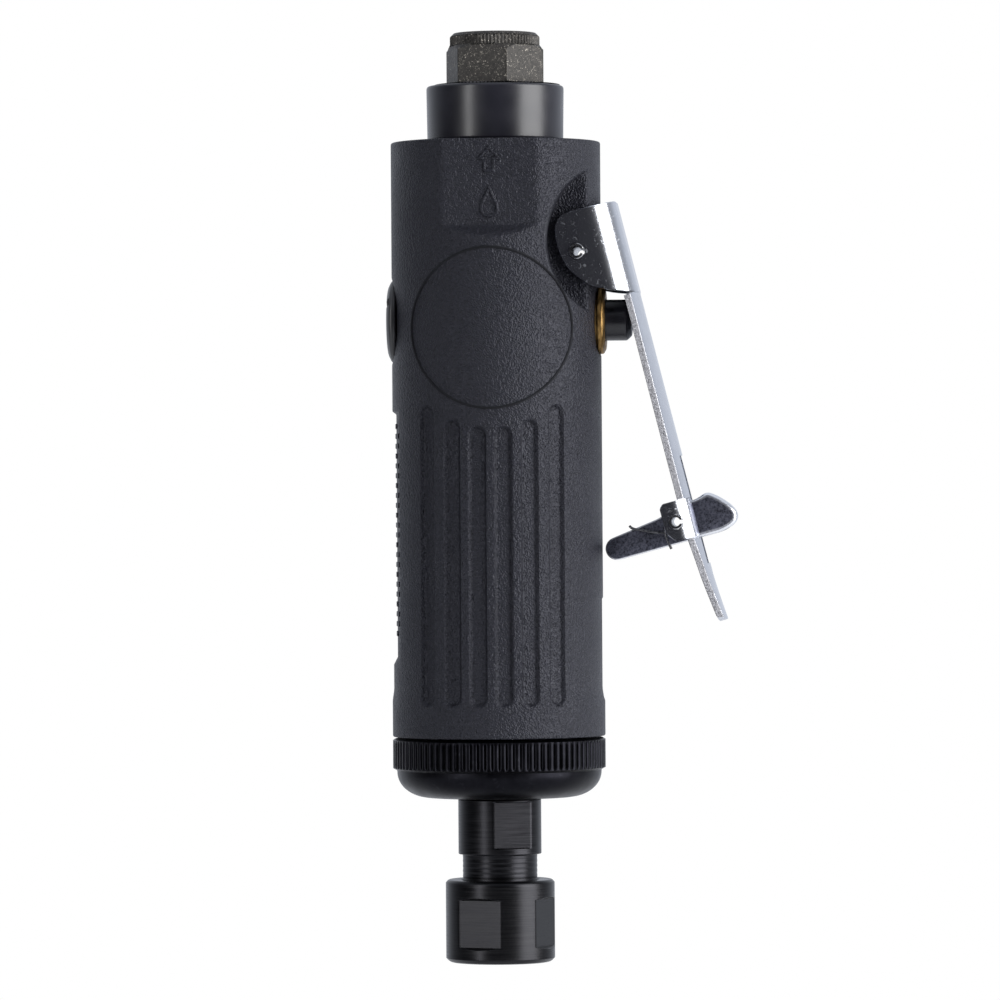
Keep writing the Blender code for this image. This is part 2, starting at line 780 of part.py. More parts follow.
# Two lugs fold inwards from the strip and carry the lock's pin
LUG_OUT = STRIP_HALF - 0.1
lug_shape = [(-3.9, 3.6), (-3.9, -1.7), (-3.1, -2.5), (1.6, -2.5), (3.6, -1.0), (3.6, 3.6)]
lug_outline = [on_lever(LOCK_S + s, LOCK_N + n) for s, n in lug_shape]
lugs = merged(
    prism(lug_outline, LUG_OUT - SHEET, LUG_OUT),
    prism(lug_outline, -LUG_OUT, -LUG_OUT + SHEET),
)
combine(throttle_lever, tool("add_lugs", lugs, at(0, 0, 0, ALONG_Y)), "UNION")

WINDOW_HALF = LOCK_HALF + 0.4
window_outline = [
    on_lever(LOCK_S + s, n) for s, n in ((-12.1, 7.0), (9.2, 7.0), (9.2, 11.0), (-12.1, 11.0))
]
window = prism(window_outline, -WINDOW_HALF, WINDOW_HALF)
combine(throttle_lever, tool("cut_lock_window", window, at(0, 0, 0, ALONG_Y)))
lever_holes = merged(
    moved(rod(PIN_R + CLEAR, -13, 13, 20), at(PIVOT_X, 0, PIVOT_H, ALONG_Y)),
    moved(rod(LOCK_PIN_R + CLEAR, -9, 9, 20), at(LOCK_X, 0, LOCK_H, ALONG_Y)),
)
combine(throttle_lever, tool("cut_lever_holes", lever_holes))


def roll_pin(name, radius, wall, reach, x, h):
    """Rolled spring pin: a C-shaped section, open on one side, laid along Y."""
    outline = arc(0, 0, radius, 25, 335, 18) + arc(0, 0, radius - wall, 335, 25, 18)
    return piece(name, prism(outline, -reach, reach), BRIGHT_STEEL, at(x, 0, h, ALONG_Y))


roll_pin("lever_pin", PIN_R, 0.6, 10.9, PIVOT_X, PIVOT_H)
roll_pin("lock_pin", LOCK_PIN_R, 0.55, 7.5, LOCK_X, LOCK_H)

# ---------------------------------------------------------------- lever lock
TIP_X = -11.5
TIP_H = -5.1
TIP_R = 2.2
lock_outline = arc(TIP_X, TIP_H, TIP_R, 284, 108, 9)
lock_outline += [
    (-3.3, 0.7), (0, 2.9), (3.9, 4.4), (5.2, 5.4), (6.1, 5.65), (8.0, 4.9), (10.3, 3.4),
    (11.5, 2.1), (11.8, 0.7), (11.0, -0.6), (9.0, -1.85),
]
lock_lever = piece(
    "lock_lever",
    prism(lock_outline, -LOCK_HALF, LOCK_HALF),
    CHROME,
    at(LOCK_X, 0, LOCK_H, ALONG_Y),
)
LOCK_WALL = 0.9
hollow_outline = [
    (-11.6, -4.2), (-3.3, -0.3), (0.2, 1.95), (4.2, 3.35), (6.0, 4.6), (9.8, 2.5), (10.8, 0.9),
    (10.4, 0.2), (9.6, -3.5), (-11.6, -9.0),
]
hollow = prism(hollow_outline, -LOCK_HALF + LOCK_WALL, LOCK_HALF - LOCK_WALL)
combine(lock_lever, tool("cut_lock_hollow", hollow, at(LOCK_X, 0, LOCK_H, ALONG_Y)))
lock_hole = rod(LOCK_PIN_R + CLEAR, -9, 9, 20)
combine(lock_lever, tool("cut_lock_hole", lock_hole, at(LOCK_X, 0, LOCK_H, ALONG_Y)))

# Torsion spring beside the lock: one leg hooks over the blade, the other bears on the lug
WIRE_R = 0.25
COIL_R = 2.1
turn_steps = 9
turns = 3
leg = []
leg += [(-8.9, -3.75, -0.5), (-8.3, -3.75, -1.3), (-5.6, -3.75, -0.7)]
for i in range(turns * turn_steps + 7):
    angle = math.radians(110) + 2 * math.pi * i / turn_steps
    y = -3.75 - 1.5 * i / (turns * turn_steps + 6)
    leg.append((COIL_R * math.cos(angle), y, COIL_R * math.sin(angle)))
leg += [(0.6, -5.25, -3.6), (-0.1, -5.25, -5.2)]
wire(
    "lock_spring",
    [(LOCK_X + x, y, LOCK_H + h) for x, y, h in leg],
    WIRE_R,
    BRIGHT_STEEL,
)
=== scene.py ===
import math

import bmesh
import bpy
import numpy as np
from mathutils import Matrix, Vector


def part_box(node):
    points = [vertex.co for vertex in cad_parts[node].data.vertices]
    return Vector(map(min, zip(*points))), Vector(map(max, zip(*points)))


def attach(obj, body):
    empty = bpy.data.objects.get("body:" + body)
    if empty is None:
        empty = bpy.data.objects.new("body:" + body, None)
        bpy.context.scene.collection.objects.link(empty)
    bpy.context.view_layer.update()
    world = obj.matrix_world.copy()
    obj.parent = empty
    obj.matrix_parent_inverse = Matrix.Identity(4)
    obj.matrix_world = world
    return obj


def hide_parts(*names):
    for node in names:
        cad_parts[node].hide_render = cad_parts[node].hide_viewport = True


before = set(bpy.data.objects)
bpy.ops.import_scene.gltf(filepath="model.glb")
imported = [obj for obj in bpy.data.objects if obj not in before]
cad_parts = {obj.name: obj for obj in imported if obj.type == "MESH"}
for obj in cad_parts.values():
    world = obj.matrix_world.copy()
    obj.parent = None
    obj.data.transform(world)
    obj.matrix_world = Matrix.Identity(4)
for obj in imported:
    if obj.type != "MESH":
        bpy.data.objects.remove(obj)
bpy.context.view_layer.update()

# ---------------------------------------------------------------------------
# Housing: die-cast aluminium body with a textured black coat. It is cast round,
# with an oil panel, a round badge line, grip flutes and pockets for the lever's ears.
# ---------------------------------------------------------------------------
MM = 0.001
NOSE_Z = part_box("collet_nut")[0].z          # heights h are millimetres above the nut's face
housing_low, housing_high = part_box("housing")
FOOT_H = (housing_low.z - NOSE_Z) / MM
RIM_H = (housing_high.z - NOSE_Z) / MM - 0.8
FOOT_R = housing_high.y / MM
BODY_R = FOOT_R - 0.3
EDGE_R = 0.6
VALVE_H = 123.5
PANEL_DEPTH_Y = 17.98                       # the oil panel is a chord this far from the axis
PANEL_LOW_H = RIM_H - 16.5
BADGE_H = RIM_H - 36.1
BADGE_R = 15.3
FLUTE_STEP = 4.96
FLUTE_HALF = 1.5
FLUTE_DEPTH = 0.75
FLUTE_LOW_H = FOOT_H + 6.4
FLUTE_TOP_H = np.array([106.9, 104.1, 102.8, 102.8, 104.1, 106.9])
LABEL_H = (58.3, 105.9)
SIDE_PANEL_H = (50.6, 70.0)
POCKET_X = 26.1
POCKET_H = 138.5
POCKET_R = 15.6
TONGUE_HALF = 8.85
BADGE_DEPTH = 0.08
LABEL_HALF = math.radians(24)
LABEL_DEPTH = 0.75
SIDE_PANEL_HALF = math.radians(43)
SIDE_PANEL_DEPTH = 0.2
SPOT_FACES = ((1, 6.9, 19.4), (-1, 8.4, 18.6))   # side, radius, distance from the axis
BORE_R = 8.5
MOTOR_R = 15.8


def step(x):
    """Smooth step: 0 below x = -1, 1 above x = 1, with 3t^2 - 2t^3 between."""
    t = np.clip(x * 0.5 + 0.5, 0, 1)
    return t * t * (3 - 2 * t)


def soft_min(a, b, k):
    """The lower of two heights, rounded over a width k where they cross."""
    t = np.clip(0.5 + 0.5 * (b - a) / k, 0, 1)
    return b * (1 - t) + a * t - k * t * (1 - t)


def spaced(*stretches):
    """Joins stretches (start, end, spacing) into one rising list of samples."""
    parts = []
    for start, end, gap in stretches:
        parts.append(np.linspace(start, end, max(2, int(round((end - start) / gap)) + 1)))
    return np.unique(np.round(np.concatenate(parts), 4))


def rounded(corners, radius, steps=4):
    """Open outline with each corner between its ends turned into a small curve.

    The curve is quadratic, from a reach before the corner to a reach after it, with one
    more point just outside each end so that flat faces shade flat.
    """
    corners = np.array(corners, float)
    out = [corners[0]]
    for before, here, after in zip(corners, corners[1:], corners[2:]):
        a = here - before
        b = after - here
        reach = min(radius, 0.45 * np.linalg.norm(a), 0.45 * np.linalg.norm(b))
        a = a / np.linalg.norm(a)
        b = b / np.linalg.norm(b)
        t = np.linspace(0, 1, steps + 1)[:, None]
        start = here - a * reach
        end = here + b * reach
        curve = start * (1 - t) ** 2 + 2 * here * t * (1 - t) + end * t ** 2
        out += [start - a * reach * 0.3, *curve, end + b * reach * 0.3]
    out.append(corners[-1])
    return np.array(out)


def make_mesh(name, verts, faces):
    """Object from points in millimetres (x, y, h): doubles merged, normals turned outwards."""
    mesh = bpy.data.meshes.new(name)
    verts = np.array(verts, float).reshape(-1, 3) * MM
    verts[:, 2] += NOSE_Z
    mesh.from_pydata(verts.tolist(), [], faces)
    bm = bmesh.new()
    bm.from_mesh(mesh)
    bmesh.ops.remove_doubles(bm, verts=bm.verts, dist=2e-6)
    bmesh.ops.recalc_face_normals(bm, faces=bm.faces)
    bm.to_mesh(mesh)
    bm.free()
    mesh.shade_smooth()
    mesh.set_sharp_from_angle(angle=math.radians(40))
    obj = bpy.data.objects.new(name, mesh)
    bpy.context.scene.collection.objects.link(obj)
    return obj


def grid_faces(rows, columns, wrap_rows, wrap_columns, first=0):
    """Quads of a grid of rows x columns points, joined end to end where it wraps."""
    index = np.arange(rows * columns).reshape(rows, columns) + first
    if wrap_rows:
        index = np.vstack([index, index[:1]])
    if wrap_columns:
        index = np.hstack([index, index[:, :1]])
    corners = (index[:-1, :-1], index[:-1, 1:], index[1:, 1:], index[1:, :-1])
    return np.stack(corners, -1).reshape(-1, 4).tolist()


def grid(name, points, wrap_rows=False, wrap_columns=False):
    """Surface through a (rows, columns, 3) grid of points."""
    rows, columns = points.shape[:2]
    return make_mesh(name, points, grid_faces(rows, columns, wrap_rows, wrap_columns))


def revolved(name, outline, angles, shape=None, wrap=True, place=None):
    """Outline (radius, height) carried round the axis: x = r cos a, y = r sin a.

    shape(r, h, a) may return a new radius for each point of the grid, which is how flats,
    knurls and flutes are cut. A closed outline wraps; one that ends on the axis does not.
    """
    outline = np.array(outline, float)
    r, a = np.meshgrid(outline[:, 0], angles, indexing="ij")
    h = np.repeat(outline[:, 1:2], len(angles), axis=1)
    if shape is not None:
        r = shape(r, h, a)
    points = np.stack([r * np.cos(a), r * np.sin(a), h], -1)
    if place is not None:
        points = place(points)
    return grid(name, points, wrap_rows=wrap, wrap_columns=True)


def turn(count):
    return np.linspace(0, 2 * np.pi, count, endpoint=False)


def angle_from(a, centre):
    """Angle a measured from a centre, wrapped to between -pi and pi."""
    return np.arctan2(np.sin(a - centre), np.cos(a - centre))


def housing_radius(r, h, a):
    """Radius of the housing's skin at height h and angle a, from the base radius r.

    The panel is a plane, softly cut with a ramp below it; the badge is a round patch set a
    little in, as seen from the front; each flute is a stadium sunk by a smooth step.
    """
    outer = r > BODY_R - 3.5
    side = angle_from(a, -np.pi / 2)
    across = BODY_R * np.sin(side)
    front = np.abs(side) < 1.3
    skin = r.copy()
    flat = (PANEL_DEPTH_Y + np.maximum(0, PANEL_LOW_H - h)) / np.maximum(np.cos(side), 0.2)
    skin = np.where(front & (h > PANEL_LOW_H - 6), soft_min(skin, flat, 0.35), skin)
    ring = np.hypot(across, h - BADGE_H)
    skin = np.where(front, skin - BADGE_DEPTH * step((BADGE_R - ring) / 0.3), skin)
    for i, top in enumerate(FLUTE_TOP_H):
        centre = math.asin((i - 2.5) * FLUTE_STEP / BODY_R)
        over = BODY_R * (side - centre)
        nearest = np.clip(h, FLUTE_LOW_H + FLUTE_HALF, top - FLUTE_HALF)
        inside = FLUTE_HALF - np.hypot(over, h - nearest)
        skin -= FLUTE_DEPTH * step(inside / 0.32)
    left = np.abs(angle_from(a, np.pi))
    label = step((LABEL_HALF - left) * BODY_R / 0.35)
    label *= step((h - LABEL_H[0]) / 0.35) * step((LABEL_H[1] - h) / 0.35)
    skin -= LABEL_DEPTH * label
    right = np.abs(angle_from(a, 0))
    plate = step((SIDE_PANEL_HALF - right) * BODY_R / 2.5)
    plate *= step((h - SIDE_PANEL_H[0]) / 0.5) * step((SIDE_PANEL_H[1] - h) / 0.2)
    skin -= SIDE_PANEL_DEPTH * plate
    cos_a = np.cos(a)
    spot = np.hypot(BODY_R * np.sin(a), h - VALVE_H)
    for way, radius, depth in SPOT_FACES:
        facing = way * cos_a > 0.5
        level = depth / np.maximum(np.abs(cos_a), 0.3)
        sunk = soft_min(skin, level, 0.1)
        skin = np.where(facing, skin + (sunk - skin) * step((radius - spot) / 0.15), skin)
    drop = POCKET_R ** 2 - (h - POCKET_H) ** 2
    edge_x = POCKET_X - np.sqrt(np.maximum(drop, 0.0))
    wall = TONGUE_HALF / np.maximum(np.abs(np.sin(a)), 0.05)
    back = edge_x / np.maximum(cos_a, 0.05)
    cut = np.maximum(wall, back)
    pocket = (cos_a > 0.05) & (drop > 0)
    skin = np.where(pocket, soft_min(skin, cut, 0.3), skin)
    return np.where(outer, skin, r)


degrees = spaced(
    (-142, -38, 0.6), (-38, -18, 0.9), (-18, 18, 3.0), (18, 64, 1.0),
    (64, 150, 4.0), (150, 162, 0.8), (162, 198, 3.0), (198, 218, 0.8),
)
heights = spaced(
    (FOOT_H + 0.4, 49, 1.4), (49, 53, 0.3), (53, 69.2, 1.5), (69.2, 70.8, 0.2),
    (70.8, 101.0, 1.5), (101.0, 138.6, 0.27), (138.6, 143, 0.35), (143, RIM_H - 0.8, 0.6),
)
outer_r = BODY_R + (FOOT_R - BODY_R) * step((51.6 - heights) / 1.4)
skin_line = np.stack([outer_r, heights], -1)
foot = rounded([(MOTOR_R, FOOT_H), (FOOT_R, FOOT_H), (FOOT_R, FOOT_H + 1)], 0.35)[:-2]
rim = rounded([(BODY_R, RIM_H - 1), (BODY_R, RIM_H), (BORE_R, RIM_H)], EDGE_R, 5)[2:]
inner = [(BORE_R, 132.0), (MOTOR_R, 109.5)]
housing = revolved(
    "housing_shell", np.vstack([foot, skin_line, rim, inner]), np.radians(degrees), housing_radius
)


def cut_away(obj, *cutters):
    """Takes each cutter's volume out of obj for good, then throws the cutter away."""
    for cutter in cutters:
        cut = obj.modifiers.new("cut", "BOOLEAN")
        cut.object = cutter
        cut.solver = "EXACT"
    finished = obj.evaluated_get(bpy.context.evaluated_depsgraph_get())
    mesh = bpy.data.meshes.new_from_object(finished)
    obj.modifiers.clear()
    old = obj.data
    obj.data = mesh
    mesh.name = old.name
    bpy.data.meshes.remove(old)
    mesh.shade_smooth()
    mesh.set_sharp_from_angle(angle=math.radians(40))
    for cutter in cutters:
        bpy.data.objects.remove(cutter, do_unlink=True)


def peg(radius, start, way, length, sides=40):
    """Round cutter from a point, along a unit direction."""
    way = Vector(way).normalized()
    spin = way.to_track_quat("Z", "Y").to_matrix()
    turns = turn(sides)
    ring = np.stack([radius * np.cos(turns), radius * np.sin(turns), np.zeros(sides)], -1)
    rows = np.stack([ring * 0, ring, ring + (0, 0, length), ring * 0 + (0, 0, length)])
    points = rows @ np.array(spin).T + np.array(start)
    return grid("peg", points, wrap_columns=True)


PIVOT_X = 16.1
PIVOT_H = 136.5
PIVOT_HOLE_R = 1.55
cut_away(housing, peg(PIVOT_HOLE_R, (PIVOT_X, -14, PIVOT_H), (0, 1, 0), 28, 32))


def node(tree, kind, values=None, **settings):
    """New node with its own settings, and constants on its input sockets."""
    made = tree.nodes.new(kind)
    for key, value in settings.items():
        setattr(made, key, value)
    for socket, value in (values or {}).items():
        made.inputs[socket].default_value = value
    return made


def join(tree, *pairs):
    """Links each (output, input) pair."""
    for output, target in pairs:
        tree.links.new(output, target)


def shader_group(name, inputs, outputs):
    """Empty node group with named float, colour or vector sockets."""
    group = bpy.data.node_groups.new(name, "ShaderNodeTree")
    for socket, kind, value in inputs:
        made = group.interface.new_socket(name=socket, in_out="INPUT", socket_type=kind)
        if value is not None:
            made.default_value = value
    for socket, kind in outputs:
        group.interface.new_socket(name=socket, in_out="OUTPUT", socket_type=kind)
    start = node(group, "NodeGroupInput")
    end = node(group, "NodeGroupOutput")
    return group, start, end


def make_cast_grain():
    """Pebbled grain of a sprayed coat: smooth cells over two sizes of noise, 0 to 1."""
    group, start, end = shader_group(
        "cast_grain",
        [("Pitch", "NodeSocketFloat", 1.0)],
        [("Height", "NodeSocketFloat"), ("Cloud", "NodeSocketFloat")],
    )
    place = node(group, "ShaderNodeTexCoord")
    fine = node(group, "ShaderNodeTexVoronoi", {"Smoothness": 0.6}, feature="SMOOTH_F1")
    coarse = node(group, "ShaderNodeTexNoise", {"Detail": 3.0})
    cloud = node(group, "ShaderNodeTexNoise", {"Scale": 90.0, "Detail": 4.0})
    coarser = node(group, "ShaderNodeMath", {1: 0.55}, operation="MULTIPLY")
    total = node(group, "ShaderNodeMath", operation="ADD")
    weaker = node(group, "ShaderNodeMath", {1: 0.6}, operation="MULTIPLY")
    join(
        group,
        (place.outputs["Object"], fine.inputs["Vector"]),
        (place.outputs["Object"], coarse.inputs["Vector"]),
        (place.outputs["Object"], cloud.inputs["Vector"]),
        (start.outputs["Pitch"], fine.inputs["Scale"]),
        (start.outputs["Pitch"], coarser.inputs[0]),
        (coarser.outputs[0], coarse.inputs["Scale"]),
        (fine.outputs["Distance"], weaker.inputs[0]),
        (weaker.outputs[0], total.inputs[0]),
        (coarse.outputs["Fac"], total.inputs[1]),
        (total.outputs[0], end.inputs["Height"]),
        (cloud.outputs["Fac"], end.inputs["Cloud"]),
    )
    return group


cast_grain = make_cast_grain()


def placed(tree, group):
    made = node(tree, "ShaderNodeGroup")
    made.node_tree = group
    return made


def blended(tree, mask, low, high, start=0.0, end=1.0):
    """Colour that goes from low to high as the mask goes from start to end."""
    ramp = node(tree, "ShaderNodeValToRGB")
    for stop, tone, place in zip(ramp.color_ramp.elements, (low, high), (start, end)):
        stop.color = (*tone, 1)
        stop.position = place
    tree.links.new(mask, ramp.inputs["Fac"])
    return ramp


def ranged(tree, value, low, high, to_low, to_high):
    spans = {"From Min": low, "From Max": high, "To Min": to_low, "To Max": to_high}
    made = node(tree, "ShaderNodeMapRange", spans)
    tree.links.new(value, made.inputs["Value"])
    return made


def new_paint(name, metallic, coat=0.0):
    paint = bpy.data.materials.new(name)
    paint.use_nodes = True
    shader = paint.node_tree.nodes["Principled BSDF"]
    shader.inputs["Metallic"].default_value = metallic
    shader.inputs["Coat Weight"].default_value = coat
    return paint, paint.node_tree, shader


def surfaced(tree, shader, colour, gloss_mask, gloss_spans, height, strength, distance):
    """Colour, roughness ranged from a mask, and bump, linked to a shader."""
    gloss = ranged(tree, gloss_mask, *gloss_spans)
    bump = node(tree, "ShaderNodeBump", {"Strength": strength, "Distance": distance})
    join(
        tree,
        (colour, shader.inputs["Base Color"]),
        (gloss.outputs["Result"], shader.inputs["Roughness"]),
        (height, bump.inputs["Height"]),
        (bump.outputs["Normal"], shader.inputs["Normal"]),
    )


def coat_paint(name, low, high, pitch, depth, rough=(0.38, 0.50)):
    """Matt sprayed coat: dark in the grain's pits, a little lighter and glossier on its tops."""
    paint, tree, shader = new_paint(name, 0.0)
    grain = placed(tree, cast_grain)
    grain.inputs["Pitch"].default_value = pitch
    tone = blended(tree, grain.outputs["Height"], low, high, 0.35, 0.95)
    surfaced(tree, shader, tone.outputs["Color"], grain.outputs["Cloud"], (0.3, 0.7, *rough),
             grain.outputs["Height"], 0.9, depth)
    shader.inputs["Specular IOR Level"].default_value = 0.34
    shader.inputs["Specular Tint"].default_value = (0.86, 0.88, 1.0, 1.0)
    return paint


body_coat = coat_paint(
    "body_coat", (0.0006, 0.0006, 0.0008), (0.010, 0.010, 0.0145), 3300.0, 0.00032
)
housing.data.materials.append(body_coat)
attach(housing, "body")
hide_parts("housing")

# ---------------------------------------------------------------------------
# Raised marks on the housing, cast with it: a flow arrow and an oil drop on the
# panel, and a ladder of short ribs in the recess down the left side.
# ---------------------------------------------------------------------------
RIDGE_R = 0.34


def ridge(name, paths, depth_y):
    """Half-buried round beads along closed flat paths (x, h) on the plane y = -depth_y."""
    verts = []
    faces = []
    for path in paths:
        path = np.array(path, float)
        ahead = np.roll(path, -1, axis=0) - path
        back = path - np.roll(path, 1, axis=0)
        ahead /= np.linalg.norm(ahead, axis=1)[:, None]
        back /= np.linalg.norm(back, axis=1)[:, None]
        way = ahead + back
        way /= np.linalg.norm(way, axis=1)[:, None]
        widen = 1 / np.maximum((way * ahead).sum(1), 0.6)
        out = np.stack([way[:, 1], -way[:, 0]], -1) * widen[:, None]
        turns = turn(10)
        flat = path[:, None, :] + RIDGE_R * np.cos(turns)[None, :, None] * out[:, None, :]
        lift = np.broadcast_to(-depth_y - 0.8 * RIDGE_R * np.sin(turns), flat.shape[:2])
        points = np.stack([flat[..., 0], lift, flat[..., 1]], -1)
        faces += grid_faces(len(path), 10, True, True, first=sum(len(v) for v in verts))
        verts.append(points.reshape(-1, 3))
    return make_mesh(name, np.vstack(verts), faces)


ARROW_H = RIM_H - 4.4
arrow = [
    (0, 2.6), (1.9, 0.5), (0.85, 0.5), (0.85, -1.8), (-0.85, -1.8), (-0.85, 0.5), (-1.9, 0.5),
]
arrow = [(x, ARROW_H + h) for x, h in arrow]
DROP_H = RIM_H - 12.2
drop_turn = turn(48)
drop_x = 1.75 * np.sin(drop_turn) * np.sin(drop_turn / 2) ** 1.6
drop_h = DROP_H + 2.7 * np.cos(drop_turn)
drop = np.stack([drop_x * 1.25, drop_h], -1)
panel_marks = ridge("panel_marks", [arrow, drop], PANEL_DEPTH_Y)
panel_marks.data.materials.append(body_coat)
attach(panel_marks, "body")

# The badge's ring is a groove in the coat. It is drawn as a thin bead painted near-black, painted shade
# standing for the shadow in the groove.
BADGE_LINE_R = 0.28
badge_turn = turn(240)
badge_x = BADGE_R * np.cos(badge_turn)
badge_y = -np.sqrt((BODY_R - 0.1) ** 2 - badge_x ** 2)
badge_path = np.stack([badge_x, badge_y, BADGE_H + BADGE_R * np.sin(badge_turn)], -1)
bead = turn(8)
inwards = np.stack([badge_x, badge_y, np.zeros(240)], -1) / (BODY_R - 0.1)
sideways = np.cross(np.roll(badge_path, -1, 0) - np.roll(badge_path, 1, 0), inwards)
sideways /= np.linalg.norm(sideways, axis=1)[:, None]
badge_rings = badge_path[:, None, :] + BADGE_LINE_R * (
    inwards[:, None, :] * np.cos(bead)[None, :, None]
    + sideways[:, None, :] * np.sin(bead)[None, :, None]
)
badge_line = grid("badge_line", badge_rings, wrap_rows=True, wrap_columns=True)
# Painted shade: a colour far darker than the coat, for the shadow inside the badge's groove.
badge_groove_painted_shade = coat_paint(
    "badge_groove_painted_shade", (0.0003, 0.0003, 0.0004), (0.0010, 0.0010, 0.0013), 2300.0, 0.00003,
    (0.7, 0.9),
)
badge_line.data.materials.append(badge_groove_painted_shade)
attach(badge_line, "body")


def raised_bars(name, bars, foot_r, top_r):
    """Curved bars on a round wall. Each is (start angle, end angle, low h, high h)."""
    verts = []
    faces = []
    section = rounded(
        [(foot_r, -0.5), (top_r, -0.5), (top_r, 0.5), (foot_r, 0.5)], 0.12, 2
    )
    for a0, a1, low, high in bars:
        angles = np.radians(np.linspace(a0, a1, 12))
        r = section[:, 0][:, None]
        h = ((low + high) / 2 + section[:, 1] * (high - low))[:, None]
        shape = (len(section), len(angles))
        points = np.stack([
            np.broadcast_to(r * np.cos(angles), shape),
            np.broadcast_to(r * np.sin(angles), shape),
            np.broadcast_to(h, shape),
        ], -1)
        first = sum(len(v) for v in verts)
        faces += grid_faces(*shape, True, False, first=first)
        count = shape[1]
        faces.append([first + i * count for i in range(shape[0])])
        faces.append([first + i * count + count - 1 for i in range(shape[0])])
        verts.append(points.reshape(-1, 3))
    return make_mesh(name, np.vstack(verts), faces)


RIB_COUNT = 22
RIB_START = 4.6
RIB_PITCH = 1.9
RIB_HEIGHT = 1.0
bars = []
for i in range(RIB_COUNT):
    low = LABEL_H[0] + RIB_START + i * RIB_PITCH
    wide = 17 if i % 3 else 12
    bars.append((180 - wide, 180 + wide, low, low + RIB_HEIGHT))
label_ribs = raised_bars("label_ribs", bars, BODY_R - 1.1, BODY_R - 0.55)
label_ribs.data.materials.append(body_coat)
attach(label_ribs, "body")

# ---------------------------------------------------------------------------
# Air inlet: a turned steel bushing, hexagon forged on the bar, screwed into the
# housing. A toothed washer under it keeps it from working loose.
# ---------------------------------------------------------------------------
MOUTH_H = (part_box("inlet_bushing")[1].z - NOSE_Z) / MM
HEX_ACROSS = 17.0
HEX_FLAT_DEG = -102.5
HEX_LOW_H = MOUTH_H - 9.75
HEX_TOP_H = MOUTH_H - 2.7
CROWN_R = 8.65
CROWN_TEETH = 78
THREAD_PITCH = 1.41


def flat_radius(a, across, sides, facing, soft, r):
    """Radius r cut back by flats: each flat is across/2 from the axis, facing its own way."""
    for i in range(sides):
        turned_a = a - math.radians(facing + 360.0 * i / sides)
        away = np.cos(turned_a)
        flat = np.where(away > 0.3, across / 2 / np.maximum(away, 0.3), 99.0)
        r = soft_min(r, flat, soft)
    return r


def inlet_radius(r, h, a):
    """Hexagon flats, fine teeth round the crown, and a tapered thread down the bore."""
    on_hex = (r > 8.8) & (h > HEX_LOW_H - 0.1)
    r = np.where(on_hex, flat_radius(a, HEX_ACROSS, 6, HEX_FLAT_DEG, 0.18, r), r)
    on_crown = (np.abs(r - CROWN_R) < 0.12) & (h > HEX_TOP_H + 0.1) & (h < MOUTH_H - 0.3)
    tooth = 0.5 + 0.5 * np.cos(a * CROWN_TEETH)
    r = np.where(on_crown, r - 0.22 * tooth ** 0.7, r)
    in_bore = (r < 7.0) & (h > MOUTH_H - 13.0) & (h < MOUTH_H - 0.6)
    phase = ((h / THREAD_PITCH + a / (2 * np.pi)) % 1.0) * 2 - 1
    return np.where(in_bore, r + 0.55 * (np.abs(phase) - 0.5), r)


outside = rounded(
    [
        (6.75, MOUTH_H), (7.9, MOUTH_H), (CROWN_R, MOUTH_H - 0.75), (CROWN_R, HEX_TOP_H + 0.35),
        (8.95, HEX_TOP_H), (9.815, HEX_TOP_H - 0.75), (9.815, HEX_LOW_H), (8.2, HEX_LOW_H),
        (8.2, 146.5), (4.0, 146.5), (4.0, 164.4), (5.8, 164.8),
    ],
    0.16,
)
bore_h = np.arange(165.2, MOUTH_H - 0.1, 0.235)
bore = np.stack([5.85 + 0.9 * (bore_h - 165.2) / 13.8, bore_h], -1)
inlet = revolved(
    "inlet_body", np.vstack([outside, bore]), turn(CROWN_TEETH * 6), inlet_radius
)


def make_scuffs():
    """Worn steel: Stain is slow blotches, Scratch is thin bright streaks, both 0 to 1."""
    group, start, end = shader_group(
        "scuffs",
        [("Size", "NodeSocketFloat", 1.0)],
        [("Stain", "NodeSocketFloat"), ("Scratch", "NodeSocketFloat")],
    )
    place = node(group, "ShaderNodeTexCoord")
    stain = node(group, "ShaderNodeTexNoise", {"Detail": 6.0, "Roughness": 0.65})
    crack = node(group, "ShaderNodeTexNoise", {"Detail": 5.0, "Distortion": 1.6})
    finer = node(group, "ShaderNodeMath", {1: 1.7}, operation="MULTIPLY")
    thin = node(group, "ShaderNodeMapRange", {"From Min": 0.60, "From Max": 0.74})
    join(
        group,
        (place.outputs["Object"], stain.inputs["Vector"]),
        (place.outputs["Object"], crack.inputs["Vector"]),
        (start.outputs["Size"], stain.inputs["Scale"]),
        (start.outputs["Size"], finer.inputs[0]),
        (finer.outputs[0], crack.inputs["Scale"]),
        (crack.outputs["Fac"], thin.inputs["Value"]),
        (stain.outputs["Fac"], end.inputs["Stain"]),
        (thin.outputs["Result"], end.inputs["Scratch"]),
    )
    return group


scuffs = make_scuffs()


def steel_paint(name, low, high, mark, size, rough, depth, metallic=1.0):
    """Bare or blacked steel: blotched from low to high, with marks where it is scuffed."""
    paint, tree, shader = new_paint(name, metallic)
    worn = placed(tree, scuffs)
    worn.inputs["Size"].default_value = size
    tone = blended(tree, worn.outputs["Stain"], low, high, 0.35, 0.7)
    mix = node(tree, "ShaderNodeMix", {"B": (*mark, 1)}, data_type="RGBA")
    join(
        tree,
        (worn.outputs["Scratch"], mix.inputs["Factor"]),
        (tone.outputs["Color"], mix.inputs["A"]),
    )
    surfaced(tree, shader, mix.outputs["Result"], worn.outputs["Stain"], (0.3, 0.7, *rough),
             worn.outputs["Stain"], 0.5, depth)
    return paint


inlet_steel = steel_paint(
    "inlet_steel", (0.016, 0.015, 0.014), (0.052, 0.048, 0.044), (0.50, 0.46, 0.40), 1400.0,
    (0.40, 0.62), 0.00012, metallic=0.5,
)
inlet.data.materials.append(inlet_steel)
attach(inlet, "body")
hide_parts("inlet_bushing")

